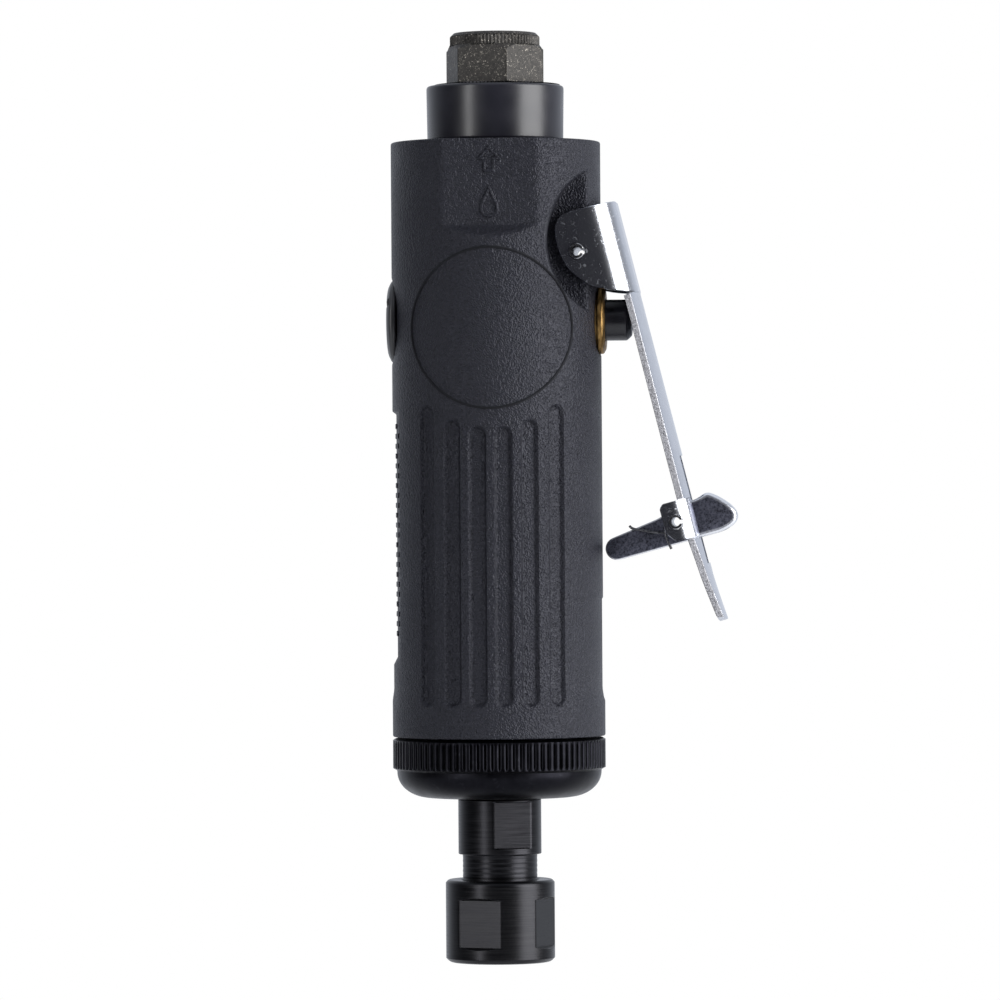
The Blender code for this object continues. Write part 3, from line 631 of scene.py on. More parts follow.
WASHER_TEETH = 104
WASHER_ROOT_R = 11.65
WASHER_TOOTH = 0.45
WASHER_THICK = 0.35
washer_h = (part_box("serrated_washer")[0].z - NOSE_Z) / MM - 0.5


def washer_radius(r, h, a):
    """Rim that saws in and out, from the teeth's roots to their tips."""
    saw = np.abs(((a * WASHER_TEETH / (2 * np.pi)) % 1.0) * 2 - 1)
    return np.where(r > 11.5, WASHER_ROOT_R + WASHER_TOOTH * saw, r)


def slid_right(points):
    """The washer is loose on the shank and has slid towards the lever."""
    return points + (0.4, 0, 0)


washer = revolved(
    "toothed_washer",
    [(8.65, washer_h), (11.9, washer_h), (11.9, washer_h + WASHER_THICK),
     (8.65, washer_h + WASHER_THICK)],
    turn(WASHER_TEETH * 4),
    washer_radius,
    place=slid_right,
)
oxide_steel = steel_paint(
    "oxide_steel", (0.016, 0.016, 0.018), (0.034, 0.034, 0.038), (0.05, 0.05, 0.055), 500.0,
    (0.26, 0.40), 0.00002,
)
washer.data.materials.append(oxide_steel)
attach(washer, "body")
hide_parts("serrated_washer")

# ---------------------------------------------------------------------------
# Exhaust deflector: a thin black anodised sleeve that turns on the inlet, open
# below over the exhaust holes, with three outlets at the back.
# ---------------------------------------------------------------------------
sleeve_low = (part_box("exhaust_deflector")[0].z - NOSE_Z) / MM - 0.75
sleeve_top = (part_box("exhaust_deflector")[1].z - NOSE_Z) / MM - 0.1
sleeve_line = rounded(
    [
        (8.6, sleeve_top), (13.25, sleeve_top), (13.1, sleeve_low), (12.3, sleeve_low),
        (12.3, sleeve_top - 1.7), (8.6, sleeve_top - 1.7),
    ],
    0.75, 6,
)
sleeve = revolved("exhaust_sleeve", sleeve_line, turn(180))
OUTLET_R = 1.5
OUTLET_H = 163.0
outlets = [peg(OUTLET_R, (x, 8.5, OUTLET_H), (0, 1, 0), 8) for x in (-5, 0, 5)]
cut_away(sleeve, *outlets)


def satin_paint(name, low, high, rough, metallic):
    """Anodised or moulded satin black, with faint handling haze."""
    paint, tree, shader = new_paint(name, metallic)
    grain = placed(tree, cast_grain)
    grain.inputs["Pitch"].default_value = 5200.0
    tone = blended(tree, grain.outputs["Cloud"], low, high, 0.35, 0.65)
    spans = (0.35, 0.65, rough - 0.04, rough + 0.06)
    surfaced(tree, shader, tone.outputs["Color"], grain.outputs["Cloud"], spans,
             grain.outputs["Height"], 0.15, 0.00002)
    return paint


sleeve_black = satin_paint("sleeve_black", (0.008, 0.008, 0.012), (0.013, 0.013, 0.019), 0.30, 0.0)
sleeve.data.materials.append(sleeve_black)
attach(sleeve, "deflector")
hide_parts("exhaust_deflector")

# ---------------------------------------------------------------------------
# Air regulator: black moulded dial in the left end of the valve bore. A slanting
# slot takes a screwdriver, and half a turn goes from low to full air.
# ---------------------------------------------------------------------------
DIAL_R = 8.0
DIAL_FACE = -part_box("air_regulator")[0].x / MM - 0.3
DIAL_SLOT_RAD = 0.52


def across(way):
    """Turns a part drawn up the axis to point along X through the valve bore, way = +-1."""
    def place(points):
        x, y, z = points[..., 0], points[..., 1], points[..., 2]
        return np.stack([way * z, y, VALVE_H - way * x], -1)
    return place


dial_edge = rounded(
    [(0, 12.6), (3.0, 12.6), (3.0, 18.9), (DIAL_R, 18.9), (DIAL_R, 20.1), (6.6, DIAL_FACE - 0.25),
     (0, DIAL_FACE)],
    0.5, 5,
)
dial = revolved("regulator_dial", dial_edge, turn(96), wrap=False, place=across(-1))
slot_points = np.array([
    (x, y, z) for x in (-DIAL_FACE - 1, -DIAL_FACE + 0.9) for y in (-9, 9) for z in (-0.8, 0.8)
], float)
spin = np.array(Matrix.Rotation(-DIAL_SLOT_RAD, 3, "X"))
slot_points = slot_points @ spin.T + (0, 0, VALVE_H)
slot_faces = [(0, 1, 3, 2), (4, 6, 7, 5), (0, 4, 5, 1), (2, 3, 7, 6), (0, 2, 6, 4), (1, 5, 7, 3)]
cut_away(dial, make_mesh("slot_cutter", slot_points, slot_faces))
dial_black = satin_paint("dial_black", (0.020, 0.020, 0.022), (0.032, 0.032, 0.035), 0.36, 0.0)
dial.data.materials.append(dial_black)
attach(dial, "regulator")
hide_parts("air_regulator")

# ---------------------------------------------------------------------------
# Throttle valve: brass bushing pressed in the right end of the same bore, with a
# black plunger sliding through it whose stem the lever pushes in.
# ---------------------------------------------------------------------------
BUSHING_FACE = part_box("throttle_bushing")[1].x / MM
STEM_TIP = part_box("throttle_plunger")[1].x / MM
bushing_line = rounded(
    [(4.25, 10.0), (6.0, 10.0), (6.0, 19.7), (6.5, 19.7), (6.5, BUSHING_FACE - 0.5),
     (5.6, BUSHING_FACE), (4.25, BUSHING_FACE - 0.1)],
    0.3, 4,
)
bushing = revolved("valve_bushing", bushing_line, turn(96), place=across(1))


def make_turning():
    """Fine lines: noise stretched by a different amount along each axis."""
    group, start, end = shader_group(
        "turning",
        [("Along", "NodeSocketVector", None), ("Pitch", "NodeSocketFloat", 1.0)],
        [("Rings", "NodeSocketFloat")],
    )
    place = node(group, "ShaderNodeTexCoord")
    flat = node(group, "ShaderNodeVectorMath", operation="MULTIPLY")
    noise = node(group, "ShaderNodeTexNoise", {"Detail": 3.0, "Scale": 1.0})
    grown = node(group, "ShaderNodeVectorMath", operation="SCALE")
    join(
        group,
        (place.outputs["Object"], flat.inputs[0]),
        (start.outputs["Along"], flat.inputs[1]),
        (flat.outputs["Vector"], grown.inputs[0]),
        (start.outputs["Pitch"], grown.inputs["Scale"]),
        (grown.outputs["Vector"], noise.inputs["Vector"]),
        (noise.outputs["Fac"], end.inputs["Rings"]),
    )
    return group


turning = make_turning()


def turned_paint(name, low, high, along, pitch, rough, depth, metallic=1.0):
    """Turned or ground metal: `along` says how fast the lines change along each axis."""
    paint, tree, shader = new_paint(name, metallic)
    lines = placed(tree, turning)
    lines.inputs["Along"].default_value = along
    lines.inputs["Pitch"].default_value = pitch
    tone = blended(tree, lines.outputs["Rings"], low, high, 0.35, 0.65)
    surfaced(tree, shader, tone.outputs["Color"], lines.outputs["Rings"], (0.3, 0.7, *rough),
             lines.outputs["Rings"], 0.5, depth)
    return paint


brass = turned_paint(
    "turned_brass", (0.13, 0.075, 0.025), (0.36, 0.225, 0.085), (1.0, 0.25, 0.25), 2600.0,
    (0.34, 0.55), 0.00005,
)
bushing.data.materials.append(brass)
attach(bushing, "body")
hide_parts("throttle_bushing")

stem_line = rounded(
    [(0, 4.0), (1.4, 4.0), (1.4, 12.0), (3.95, 12.0), (3.95, 25.2), (3.0, 26.2), (1.0, 26.2),
     (1.0, STEM_TIP), (0, STEM_TIP)],
    0.3, 4,
)
stem = revolved("valve_stem", stem_line, turn(64), wrap=False, place=across(1))
stem.data.materials.append(sleeve_black)
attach(stem, "valve")
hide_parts("throttle_plunger")

# ---------------------------------------------------------------------------
# Clamp nut: black steel ring that holds the motor in, straight-knurled for the
# hand above a smooth rounded nose.
# ---------------------------------------------------------------------------
KNURLS = 92
RING_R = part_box("clamp_nut")[1].y / MM
RING_LOW_H = 37.4
RING_TOP_H = 42.9
KNURL_DEPTH = 0.45
NOSE_LOW_H = 31.8


def knurl_radius(r, h, a):
    """Straight knurl: rounded teeth that run out at both ends of the ring."""
    band = step((h - RING_LOW_H - 0.25) / 0.3) * step((RING_TOP_H - 0.25 - h) / 0.3)
    band = np.where(r > RING_R - 1.0, band, 0)
    tooth = np.abs(np.sin(a * KNURLS / 2))
    return r - KNURL_DEPTH * band * (1 - tooth ** 0.5)


ring_h = np.linspace(RING_LOW_H + 0.05, RING_TOP_H - 0.05, 22)
ring = np.stack([np.full_like(ring_h, RING_R), ring_h], -1)
nose_turn = np.radians(np.linspace(0, 86, 22))
nose_centre_r = 13.6
nose = np.stack([
    nose_centre_r + 6.1 * np.sin(nose_turn), NOSE_LOW_H + 4.9 * (1 - np.cos(nose_turn)),
], -1)
clamp_line = np.vstack([
    rounded([(8.6, 43.2), (8.4, 43.2), (8.4, NOSE_LOW_H), (11.0, NOSE_LOW_H)], 0.4)[1:], nose,
    [(19.72, 37.0), (RING_R - 0.35, RING_LOW_H - 0.12)], ring,
    rounded([(RING_R, RING_TOP_H), (19.9, 43.2), (12.0, 43.2)], 0.2)[1:],
])
clamp = revolved("clamp_ring", clamp_line, turn(KNURLS * 8), knurl_radius)
clamp_black = steel_paint(
    "clamp_black", (0.007, 0.007, 0.009), (0.012, 0.012, 0.015), (0.018, 0.018, 0.022), 300.0,
    (0.30, 0.42), 0.00001,
)
clamp.data.materials.append(clamp_black)
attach(clamp, "body")
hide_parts("clamp_nut")

# ---------------------------------------------------------------------------
# Spindle: ground steel shaft, blacked. Two wrench flats are milled on its collar
# and the neck below is left with the lathe's rings on it.
# ---------------------------------------------------------------------------
SPINDLE_ACROSS = 14.0
SPINDLE_FLAT_DEG = -66.0
NECK_R = 7.2
COLLAR_R = 8.0
spindle_top = (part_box("spindle")[1].z - NOSE_Z) / MM


def spindle_radius(r, h, a):
    """Two opposite wrench flats on the collar, between heights 22 and 31."""
    on_flat = (h > 21.9) & (h < 31.05) & (r > 7.0)
    flats = flat_radius(a, SPINDLE_ACROSS, 2, SPINDLE_FLAT_DEG, 0.05, r)
    ends = step((h - 22.1) / 0.1) * step((31.0 - h) / 0.1)
    return np.where(on_flat, r + (flats - r) * ends, r)


neck_h = np.arange(3.5, 20.3, 0.16)
rings = 0.06 * np.abs(((neck_h / 0.95) % 1) * 2 - 1)
neck = np.stack([NECK_R - rings, neck_h], -1)
collar_h = np.array([21.3, 21.8, 22.0, 22.1, 22.2, 22.4, 24, 27, 30, 30.6, 30.9, 31.0, 31.1])
collar = np.stack([np.full_like(collar_h, COLLAR_R), collar_h], -1)
spindle_line = np.vstack([
    [(0, 20.0), (5.35, 20.0), (5.35, 3.9), (5.9, 3.4), (6.8, 3.4)], neck,
    rounded([(NECK_R, 20.35), (NECK_R, 20.8), (COLLAR_R, 20.8), (COLLAR_R, 21.3)],
            0.25)[1:-1],
    collar,
    rounded([(COLLAR_R, 31.1), (COLLAR_R, 31.3), (6.0, 31.3), (6.0, spindle_top),
             (0, spindle_top)], 0.2)[1:],
])
shaft = revolved("output_shaft", spindle_line, turn(240), spindle_radius, wrap=False)
spindle_black = turned_paint(
    "spindle_black", (0.015, 0.015, 0.017), (0.027, 0.027, 0.030), (0.02, 0.02, 1.0), 7000.0,
    (0.28, 0.40), 0.00003,
)
shaft.data.materials.append(spindle_black)
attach(shaft, "rotor")
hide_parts("spindle")

# ---------------------------------------------------------------------------
# Collet nut: black steel nut that squeezes the collet shut, rounded at the mouth
# and milled with four flats for a wrench.
# ---------------------------------------------------------------------------
NUT_R = 10.5
NUT_TOP_H = 15.9
NUT_ACROSS = 19.0
NUT_FLAT_DEG = -110.7
NUT_FLAT_H = (3.2, 12.2)


def nut_radius(r, h, a):
    """Four flats, with a small chamfer where each meets the round above and below it."""
    flats = flat_radius(a, NUT_ACROSS, 4, NUT_FLAT_DEG, 0.04, r)
    slope = np.maximum(0, h - NUT_FLAT_H[1]) + np.maximum(0, NUT_FLAT_H[0] - h)
    return np.where(r > 9.0, np.minimum(r, flats + slope * 2.2), r)


nut_h = spaced((0.9, 2.4, 0.5), (2.4, 3.4, 0.1), (3.4, 12.1, 1.1), (12.1, 12.8, 0.08),
               (12.8, NUT_TOP_H - 0.6, 0.6))
nut_side = np.stack([np.full_like(nut_h, NUT_R), nut_h], -1)
nut_line = np.vstack([
    rounded([(7.6, 3.3), (6.0, 3.0), (4.75, 1.6), (4.75, 0), (NUT_R - 0.8, 0),
             (NUT_R, 0.8), (NUT_R, 1.0)], 0.5, 5)[:-1],
    nut_side,
    rounded([(NUT_R, NUT_TOP_H - 0.6), (NUT_R - 0.5, NUT_TOP_H), (7.5, NUT_TOP_H), (7.5, 3.6)],
            0.4)[1:],
])
nut = revolved("collet_cap", nut_line, turn(288), nut_radius)
nut_black = turned_paint(
    "nut_black", (0.017, 0.017, 0.019), (0.028, 0.028, 0.030), (0.02, 0.02, 1.0), 6000.0,
    (0.27, 0.38), 0.00002,
)
nut.data.materials.append(nut_black)
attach(nut, "nut")
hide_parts("collet_nut")

# ---------------------------------------------------------------------------
# Throttle lever: one strip of sheet steel, blanked, folded into a channel at the
# top with two ears for the pin, folded again into two lugs for the lock, chromed.
# ---------------------------------------------------------------------------
LEAN = math.radians(14.2)
SHEET = 1.3
STRIP_N = 8.1
STRIP_HALF = 7.0
CHANNEL_HALF = 10.3
CROWN = 1.65
LOCK_S = 54.85
LOCK_N = 5.2
LUG_HALF = 6.9
STRIP_FROM = 10.35
FLARE_FROM = 66.0
FLARE_LENGTH = 9.4
FLARE_N = 0.65
TAPER_LENGTH = 16.9
TAPER = 2.4
TIP_FROM = 73.9
TIP_CHAMFER_S = 75.3
WEB_POINTS = 9
BEND_POINTS = 10
LEVER_HOLE_R = 1.62
LOCK_HOLE_R = 1.56


def down_strip(s, y, n):
    """Points s down the strip, y across it and n outwards from the pin, as (x, y, h)."""
    s, y, n = np.broadcast_arrays(s, y, n)
    x = PIVOT_X + s * math.sin(LEAN) + n * math.cos(LEAN)
    return np.stack([x, y, PIVOT_H - s * math.cos(LEAN) + n * math.sin(LEAN)], -1)


def capped(name, points):
    """Closed sections one after another, with a flat face over each end."""
    rows, columns = points.shape[:2]
    faces = grid_faces(rows, columns, False, True)
    faces.append(list(range(columns)))
    faces.append(list(range((rows - 1) * columns, rows * columns)))
    return make_mesh(name, points, faces)


def slab(name, outline, y0, y1):
    """Flat outline (x, h) given thickness from y0 to y1."""
    outline = np.array(outline, float)
    points = np.stack([
        np.stack([outline[:, 0], np.full(len(outline), y), outline[:, 1]], -1) for y in (y0, y1)
    ])
    return capped(name, points)


EAR_S = (-7.65, -7.4, -6.8, -6.0, -4.8, -3.2, -1.4, 0.4, 2.2, 3.9, 5.3, 6.6, 7.6, 8.4, 9.0,
         9.7, 10.3)
EAR_LOW = (0.3, -1.1, -2.0, -2.6, -3.0, -3.25, -3.25, -3.0, -2.6, -1.75, -0.7, 0.5, 1.8, 3.4,
           4.9, 6.9, 8.6)
EAR_BEND = 6.4
LUG_LOW = ((-3.9, 3.6), (-3.75, 3.3), (-3.3, 2.85), (-2.9, 2.7), (1.4, 2.7), (1.9, 2.9), (3.4, 4.0),
           (3.6, 4.4))
LUG_BEND = 3.1
CHAMFER = 0.14


def half_section(half, bend, low, inset):
    """Right half of the sheet's section, as (y, n) from the middle out and back.

    The outer line runs along the web, round the bend and down the leg; the inner one comes
    back a sheet's thickness inside it. Anything below the leg's end is drawn up to it.
    """
    sides = []
    for less in (inset, SHEET - inset):
        top = STRIP_N + SHEET - less
        reach = half - less
        r = max(bend - less, 0.12)
        web = np.linspace(0, reach - r, WEB_POINTS)
        around = np.radians(np.linspace(0, 90, BEND_POINTS))
        leg = np.array([low + CHAMFER + 0.3, low + CHAMFER, low])
        y = np.concatenate([web, reach - r + r * np.sin(around), [reach] * 3])
        n = np.concatenate([np.full(WEB_POINTS, top), top - r + r * np.cos(around), leg])
        end = min(low, top)
        fall = np.clip(n, end, top)
        over = np.clip(fall - (top - r), 0, r)
        on_arc = reach - r + np.sqrt(np.maximum(r * r - over * over, 0))
        y = np.where((n < end) & (np.arange(len(y)) >= WEB_POINTS), on_arc, y)
        sides.append(np.stack([y, fall], -1))
    outer, inner = sides
    outer[-1, 0] -= CHAMFER
    inner[-1, 0] += CHAMFER * 0.5
    return outer, inner[::-1]


def lever_row(s, half, bend, low, crown=0.0, flare=0.0, inset=0.0):
    """One closed section of the lever at s, arched by crown and lifted outwards by flare."""
    outer, inner = half_section(half, bend, low, inset)
    right = np.vstack([outer, inner])
    left = right[::-1] * (-1, 1)
    count = len(outer)
    loop = np.vstack([outer, inner[:-1], left[:count], left[count:-1]])
    lift = flare - crown * (loop[:, 0] / STRIP_HALF) ** 2
    return down_strip(s, loop[:, 0], loop[:, 1] + lift)


rows = [lever_row(EAR_S[0], CHANNEL_HALF, EAR_BEND, EAR_LOW[0], inset=CHAMFER)]
ear_steps = np.append(EAR_S[0] + CHAMFER, np.linspace(EAR_S[1], EAR_S[-1], 42))
for s in np.unique(ear_steps):
    low = np.interp(s, EAR_S, EAR_LOW)
    rows.append(lever_row(s, CHANNEL_HALF, EAR_BEND, low))


lug_from = LOCK_S - 3.9
lug_to = LOCK_S + 3.6


def strip_rows(s_values):
    """Sections of the strip, which tapers below the lugs and flares out to a round tip."""
    for s in s_values:
        past = max(0.0, s - FLARE_FROM)
        flare = FLARE_N * (past / FLARE_LENGTH) ** 1.4
        taper = min(1.0, max(0.0, (s - lug_to) / TAPER_LENGTH))
        tip = min(1.0, max(0.0, (s - TIP_FROM) / 1.5))
        half = (STRIP_HALF - TAPER * taper ** 0.9) * math.sqrt(1 - 0.45 * tip ** 2)
        crown = CROWN * (1 - 0.3 * taper)
        inset = CHAMFER if s > TIP_CHAMFER_S else 0.0
        yield lever_row(s, half, 0.2, STRIP_N, crown, flare, inset)


rows += strip_rows(spaced(
    (STRIP_FROM, 20.0, 0.8), (20.0, 46.0, 2.0), (46.0, lug_from - 0.03, 0.7)
))
for s in spaced((-3.9, -3.75, 0.15), (-3.75, -2.9, 0.2), (-2.9, 1.4, 0.6), (1.4, 3.6, 0.25)):
    low = np.interp(s, [p[0] for p in LUG_LOW], [p[1] for p in LUG_LOW])
    rows.append(lever_row(LOCK_S + s, LUG_HALF, LUG_BEND, low + CROWN, CROWN))
rows += strip_rows(spaced((lug_to + 0.03, FLARE_FROM, 0.7), (FLARE_FROM, 72.0, 0.5), (72.0, 75.25, 0.25),
                          (75.25, 75.4, 0.15)))
lever = capped("squeeze_lever", np.array(rows))
window = np.array([(-12.1, 6.2), (9.2, 6.2), (9.2, 11.5), (-12.1, 11.5)])
window = down_strip(LOCK_S + window[:, 0], 0, window[:, 1])[:, [0, 2]]
LOCK_AT = down_strip(LOCK_S, 0, LOCK_N)
cut_away(
    lever, slab("window", window, -3.5, 3.5),
    peg(LEVER_HOLE_R, (PIVOT_X, -14, PIVOT_H), (0, 1, 0), 28),
    peg(LOCK_HOLE_R, (LOCK_AT[0], -9, LOCK_AT[2]), (0, 1, 0), 18),
)


def chrome_paint(name, tone, rough, haze):
    """Bright plate with faint haze, pinprick pits and a slow ripple."""
    paint, tree, shader = new_paint(name, 1.0)
    worn = placed(tree, scuffs)
    worn.inputs["Size"].default_value = 500.0
    shade = blended(tree, worn.outputs["Stain"], tuple(0.8 * t for t in tone), tone)
    spans = (0, 1, rough, rough + haze)
    surfaced(tree, shader, shade.outputs["Color"], worn.outputs["Scratch"], spans,
             worn.outputs["Stain"], 0.12, 0.00005)
    return paint


chrome = chrome_paint("plated_chrome", (0.70, 0.72, 0.77), 0.19, 0.22)
sheared = steel_paint(
    "sheared_edge", (0.10, 0.10, 0.11), (0.52, 0.52, 0.55), (0.95, 0.95, 0.98), 3600.0, (0.4, 0.6),
    0.00012, metallic=0.25,
)
lever.data.materials.clear()
lever.data.materials.append(chrome)
lever.data.materials.append(sheared)
for face in lever.data.polygons:
    middle = face.center / MM
    drop = PIVOT_H + NOSE_Z / MM - middle.z
    s = (middle.x - PIVOT_X) * math.sin(LEAN) + drop * math.cos(LEAN)
    if abs(face.normal.y) > 0.7 and s > STRIP_FROM and not lug_from < s < lug_to:
        face.material_index = 1
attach(lever, "lever")
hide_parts("throttle_lever")

# ---------------------------------------------------------------------------
# Roll pins: strips of spring steel rolled into a C. The long one carries the lever
# in the housing, the short one carries the lock in the lever's lugs.
# ---------------------------------------------------------------------------
pin_steel = turned_paint(
    "pin_steel", (0.26, 0.26, 0.27), (0.60, 0.60, 0.61), (0.3, 1.0, 0.3), 5200.0, (0.14, 0.3),
    0.00002,
)


def roll_pin(name, radius, wall, reach, x, h):
    """C-shaped ring along Y: out at radius, back at radius - wall, the gap towards +X."""
    sweep = np.radians(np.linspace(24, 336, 40))
    ends = np.array([-reach, -reach + 0.12, reach - 0.12, reach])
    inset = np.array([0.12, 0.0, 0.0, 0.12])
    rows = []
    for y, less in zip(ends, inset):
        outer = np.stack([(radius - less) * np.cos(sweep), (radius - less) * np.sin(sweep)], -1)
        hollow = radius - wall + less * 0.5
        back = sweep[::-1]
        inner = np.stack([hollow * np.cos(back), hollow * np.sin(back)], -1)
        ring = np.vstack([outer, inner])
        rows.append(np.stack([x + ring[:, 0], np.full(len(ring), y), h + ring[:, 1]], -1))
    points = np.array(rows)
    faces = grid_faces(4, points.shape[1], False, True)
    count = points.shape[1]
    for row in (0, 3):
        for i in range(39):
            a = row * count + i
            b = row * count + count - 1 - i
            faces.append((a, a + 1, b - 1, b))
    pin = make_mesh(name, points, faces)
    pin.data.materials.append(pin_steel)
    return pin


lever_roll = roll_pin("lever_roll_pin", 1.5, 0.6, 10.9, PIVOT_X, PIVOT_H)
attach(lever_roll, "body")
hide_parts("lever_pin")
lock_roll = roll_pin("lock_roll_pin", 1.45, 0.55, 7.5, LOCK_AT[0], LOCK_AT[2])
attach(lock_roll, "lever")
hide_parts("lock_pin")

# ---------------------------------------------------------------------------
# Lever lock: a small pressed-steel cam. Its blade props the lever off the housing
# and its thumb tab has a rolled rim round a flat face. The flat sides are painted dark, a painted
# reflection of the dark surroundings, while the rim keeps the bright plate colour.
# ---------------------------------------------------------------------------
LOCK_HALF = 3.1
blade_turn = np.radians(np.linspace(284, 108, 14))
blade = np.stack([-11.5 + 2.2 * np.cos(blade_turn), -5.1 + 2.2 * np.sin(blade_turn)], -1)
thumb = [
    (-3.3, 0.7), (0, 2.9), (3.9, 4.4), (5.2, 5.4), (6.1, 5.65), (8.0, 4.9), (10.3, 3.4),
    (11.5, 2.1), (11.8, 0.7), (11.0, -0.6), (9.0, -1.85),
]
lock_line = rounded([(-3.0, -5.1), *blade, *thumb, (-3.0, -5.1)], 0.9, 4)[1:-1]


def even_outline(points, count):
    """Closed outline resampled at even steps along its own length, lightly smoothed."""
    ring = np.vstack([points, points[:1]])
    reach = np.concatenate([[0], np.cumsum(np.linalg.norm(np.diff(ring, axis=0), axis=1))])
    where = np.linspace(0, reach[-1], count, endpoint=False)
    flat = np.stack([np.interp(where, reach, ring[:, i]) for i in (0, 1)], -1)
    return (np.roll(flat, 1, axis=0) + 2 * flat + np.roll(flat, -1, axis=0)) / 4


lock_line = even_outline(lock_line, 170)
along = np.roll(lock_line, -1, axis=0) - np.roll(lock_line, 1, axis=0)
along /= np.linalg.norm(along, axis=1)[:, None]
outwards = np.stack([-along[:, 1], along[:, 0]], -1)
rim = 0.28 + 0.62 * step((lock_line[:, 0] - 3.5) / 2)
lock_rows = []
for quarter in np.radians([90, 60, 40, 25, 10, 0]):
    inset = rim * (1 - math.cos(quarter))
    lift = LOCK_HALF - rim * (1 - math.sin(quarter))
    flat = lock_line - outwards * inset[:, None]
    lock_rows.append(np.stack([LOCK_AT[0] + flat[:, 0], -lift, LOCK_AT[2] + flat[:, 1]], -1))
far_rows = [row * (1, -1, 1) for row in reversed(lock_rows)]
lock = capped("lock_cam", np.array(lock_rows + far_rows))
hollow = np.array([
    (-11.6, -4.2), (-3.3, -0.3), (0.2, 1.95), (4.2, 3.35), (6.0, 4.6), (9.8, 2.5), (10.8, 0.9),
    (10.4, 0.2), (9.6, -3.5), (-11.6, -9.0),
])
cut_away(
    lock,
    slab("hollow", hollow + (LOCK_AT[0], LOCK_AT[2]), -LOCK_HALF + 0.9, LOCK_HALF - 0.9),
    peg(1.5, (LOCK_AT[0], -9, LOCK_AT[2]), (0, 1, 0), 18),
)


def lock_plate_with_painted_dark_sides():
    """Plated rim, sides painted dark as a painted reflection: mask is how squarely the surface faces
    sideways.
    """
    paint, tree, shader = new_paint("lock_plate_painted_dark_sides", 1.0)
    grain = placed(tree, cast_grain)
    grain.inputs["Pitch"].default_value = 3200.0
    shape = node(tree, "ShaderNodeNewGeometry")
    split = node(tree, "ShaderNodeSeparateXYZ")
    square = node(tree, "ShaderNodeMath", operation="ABSOLUTE")
    mask = ranged(tree, square.outputs[0], 0.90, 0.99, 0.0, 1.0)
    # Painted reflection: faces that look sideways get this dark grained colour in place of the plate's
    # bright one.
    painted_dark_sides = blended(
        tree, grain.outputs["Height"], (0.015, 0.015, 0.020), (0.15, 0.155, 0.20), 0.4
    )
    mix = node(tree, "ShaderNodeMix", {"A": (0.80, 0.81, 0.84, 1)}, data_type="RGBA")
    join(
        tree,
        (shape.outputs["True Normal"], split.inputs["Vector"]),
        (split.outputs["Y"], square.inputs[0]),
        (mask.outputs["Result"], mix.inputs["Factor"]),
        (painted_dark_sides.outputs["Color"], mix.inputs["B"]),
    )
    surfaced(tree, shader, mix.outputs["Result"], mask.outputs["Result"], (0, 1, 0.12, 0.42),
             grain.outputs["Height"], 0.35, 0.00006)
    return paint


lock.data.materials.clear()
lock.data.materials.append(lock_plate_with_painted_dark_sides())
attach(lock, "lock")
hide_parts("lock_lever")

# ---------------------------------------------------------------------------
# Lock spring: under three turns of spring wire round the lock's pin. One leg hooks over
# the blade and the other bears on the lever's lug.
# ---------------------------------------------------------------------------
WIRE_R = 0.25
COIL_R = 2.1
coil_turn = np.radians(np.linspace(265, 1260, 150))
coil_y = np.linspace(-3.75, -5.25, 150)
coil = np.stack([COIL_R * np.cos(coil_turn), coil_y, COIL_R * np.sin(coil_turn)], -1)
wire = np.vstack([
    [(-8.95, -3.45, -0.80), (-8.8, -3.6, -0.98), (-8.5, -3.7, -1.20), (-8.0, -3.72, -1.38),
     (-6.8, -3.74, -1.55), (-5.0, -3.75, -1.9), (-3.0, -3.75, -2.15), (-1.4, -3.75, -2.2)],
    coil, [(-2.08, -5.25, -1.4), (-1.95, -5.25, -2.6), (-1.6, -5.25, -3.8), (-0.9, -5.25, -5.2)],
]) + np.array([LOCK_AT[0], 0, LOCK_AT[2]])


def tube(name, path, radius, sides=12):
    """Round wire along a path: rings square to the path, carried without twisting."""
    ahead = np.gradient(path, axis=0)
    ahead /= np.linalg.norm(ahead, axis=1)[:, None]
    side = np.cross(ahead, (0.13, 0.9, 0.41))
    side /= np.linalg.norm(side, axis=1)[:, None]
    other = np.cross(ahead, side)
    turns = turn(sides)[None, :, None]
    rings = side[:, None, :] * np.cos(turns) + other[:, None, :] * np.sin(turns)
    return capped(name, path[:, None, :] + radius * rings)


lock_wire = tube("lock_wire", wire, WIRE_R)
wire_steel = turned_paint(
    "wire_steel", (0.05, 0.05, 0.055), (0.16, 0.16, 0.17), (1.0, 1.0, 1.0), 2600.0, (0.25, 0.4),
    0.00002,
)
lock_wire.data.materials.append(wire_steel)
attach(lock_wire, "lock")
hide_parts("lock_spring")

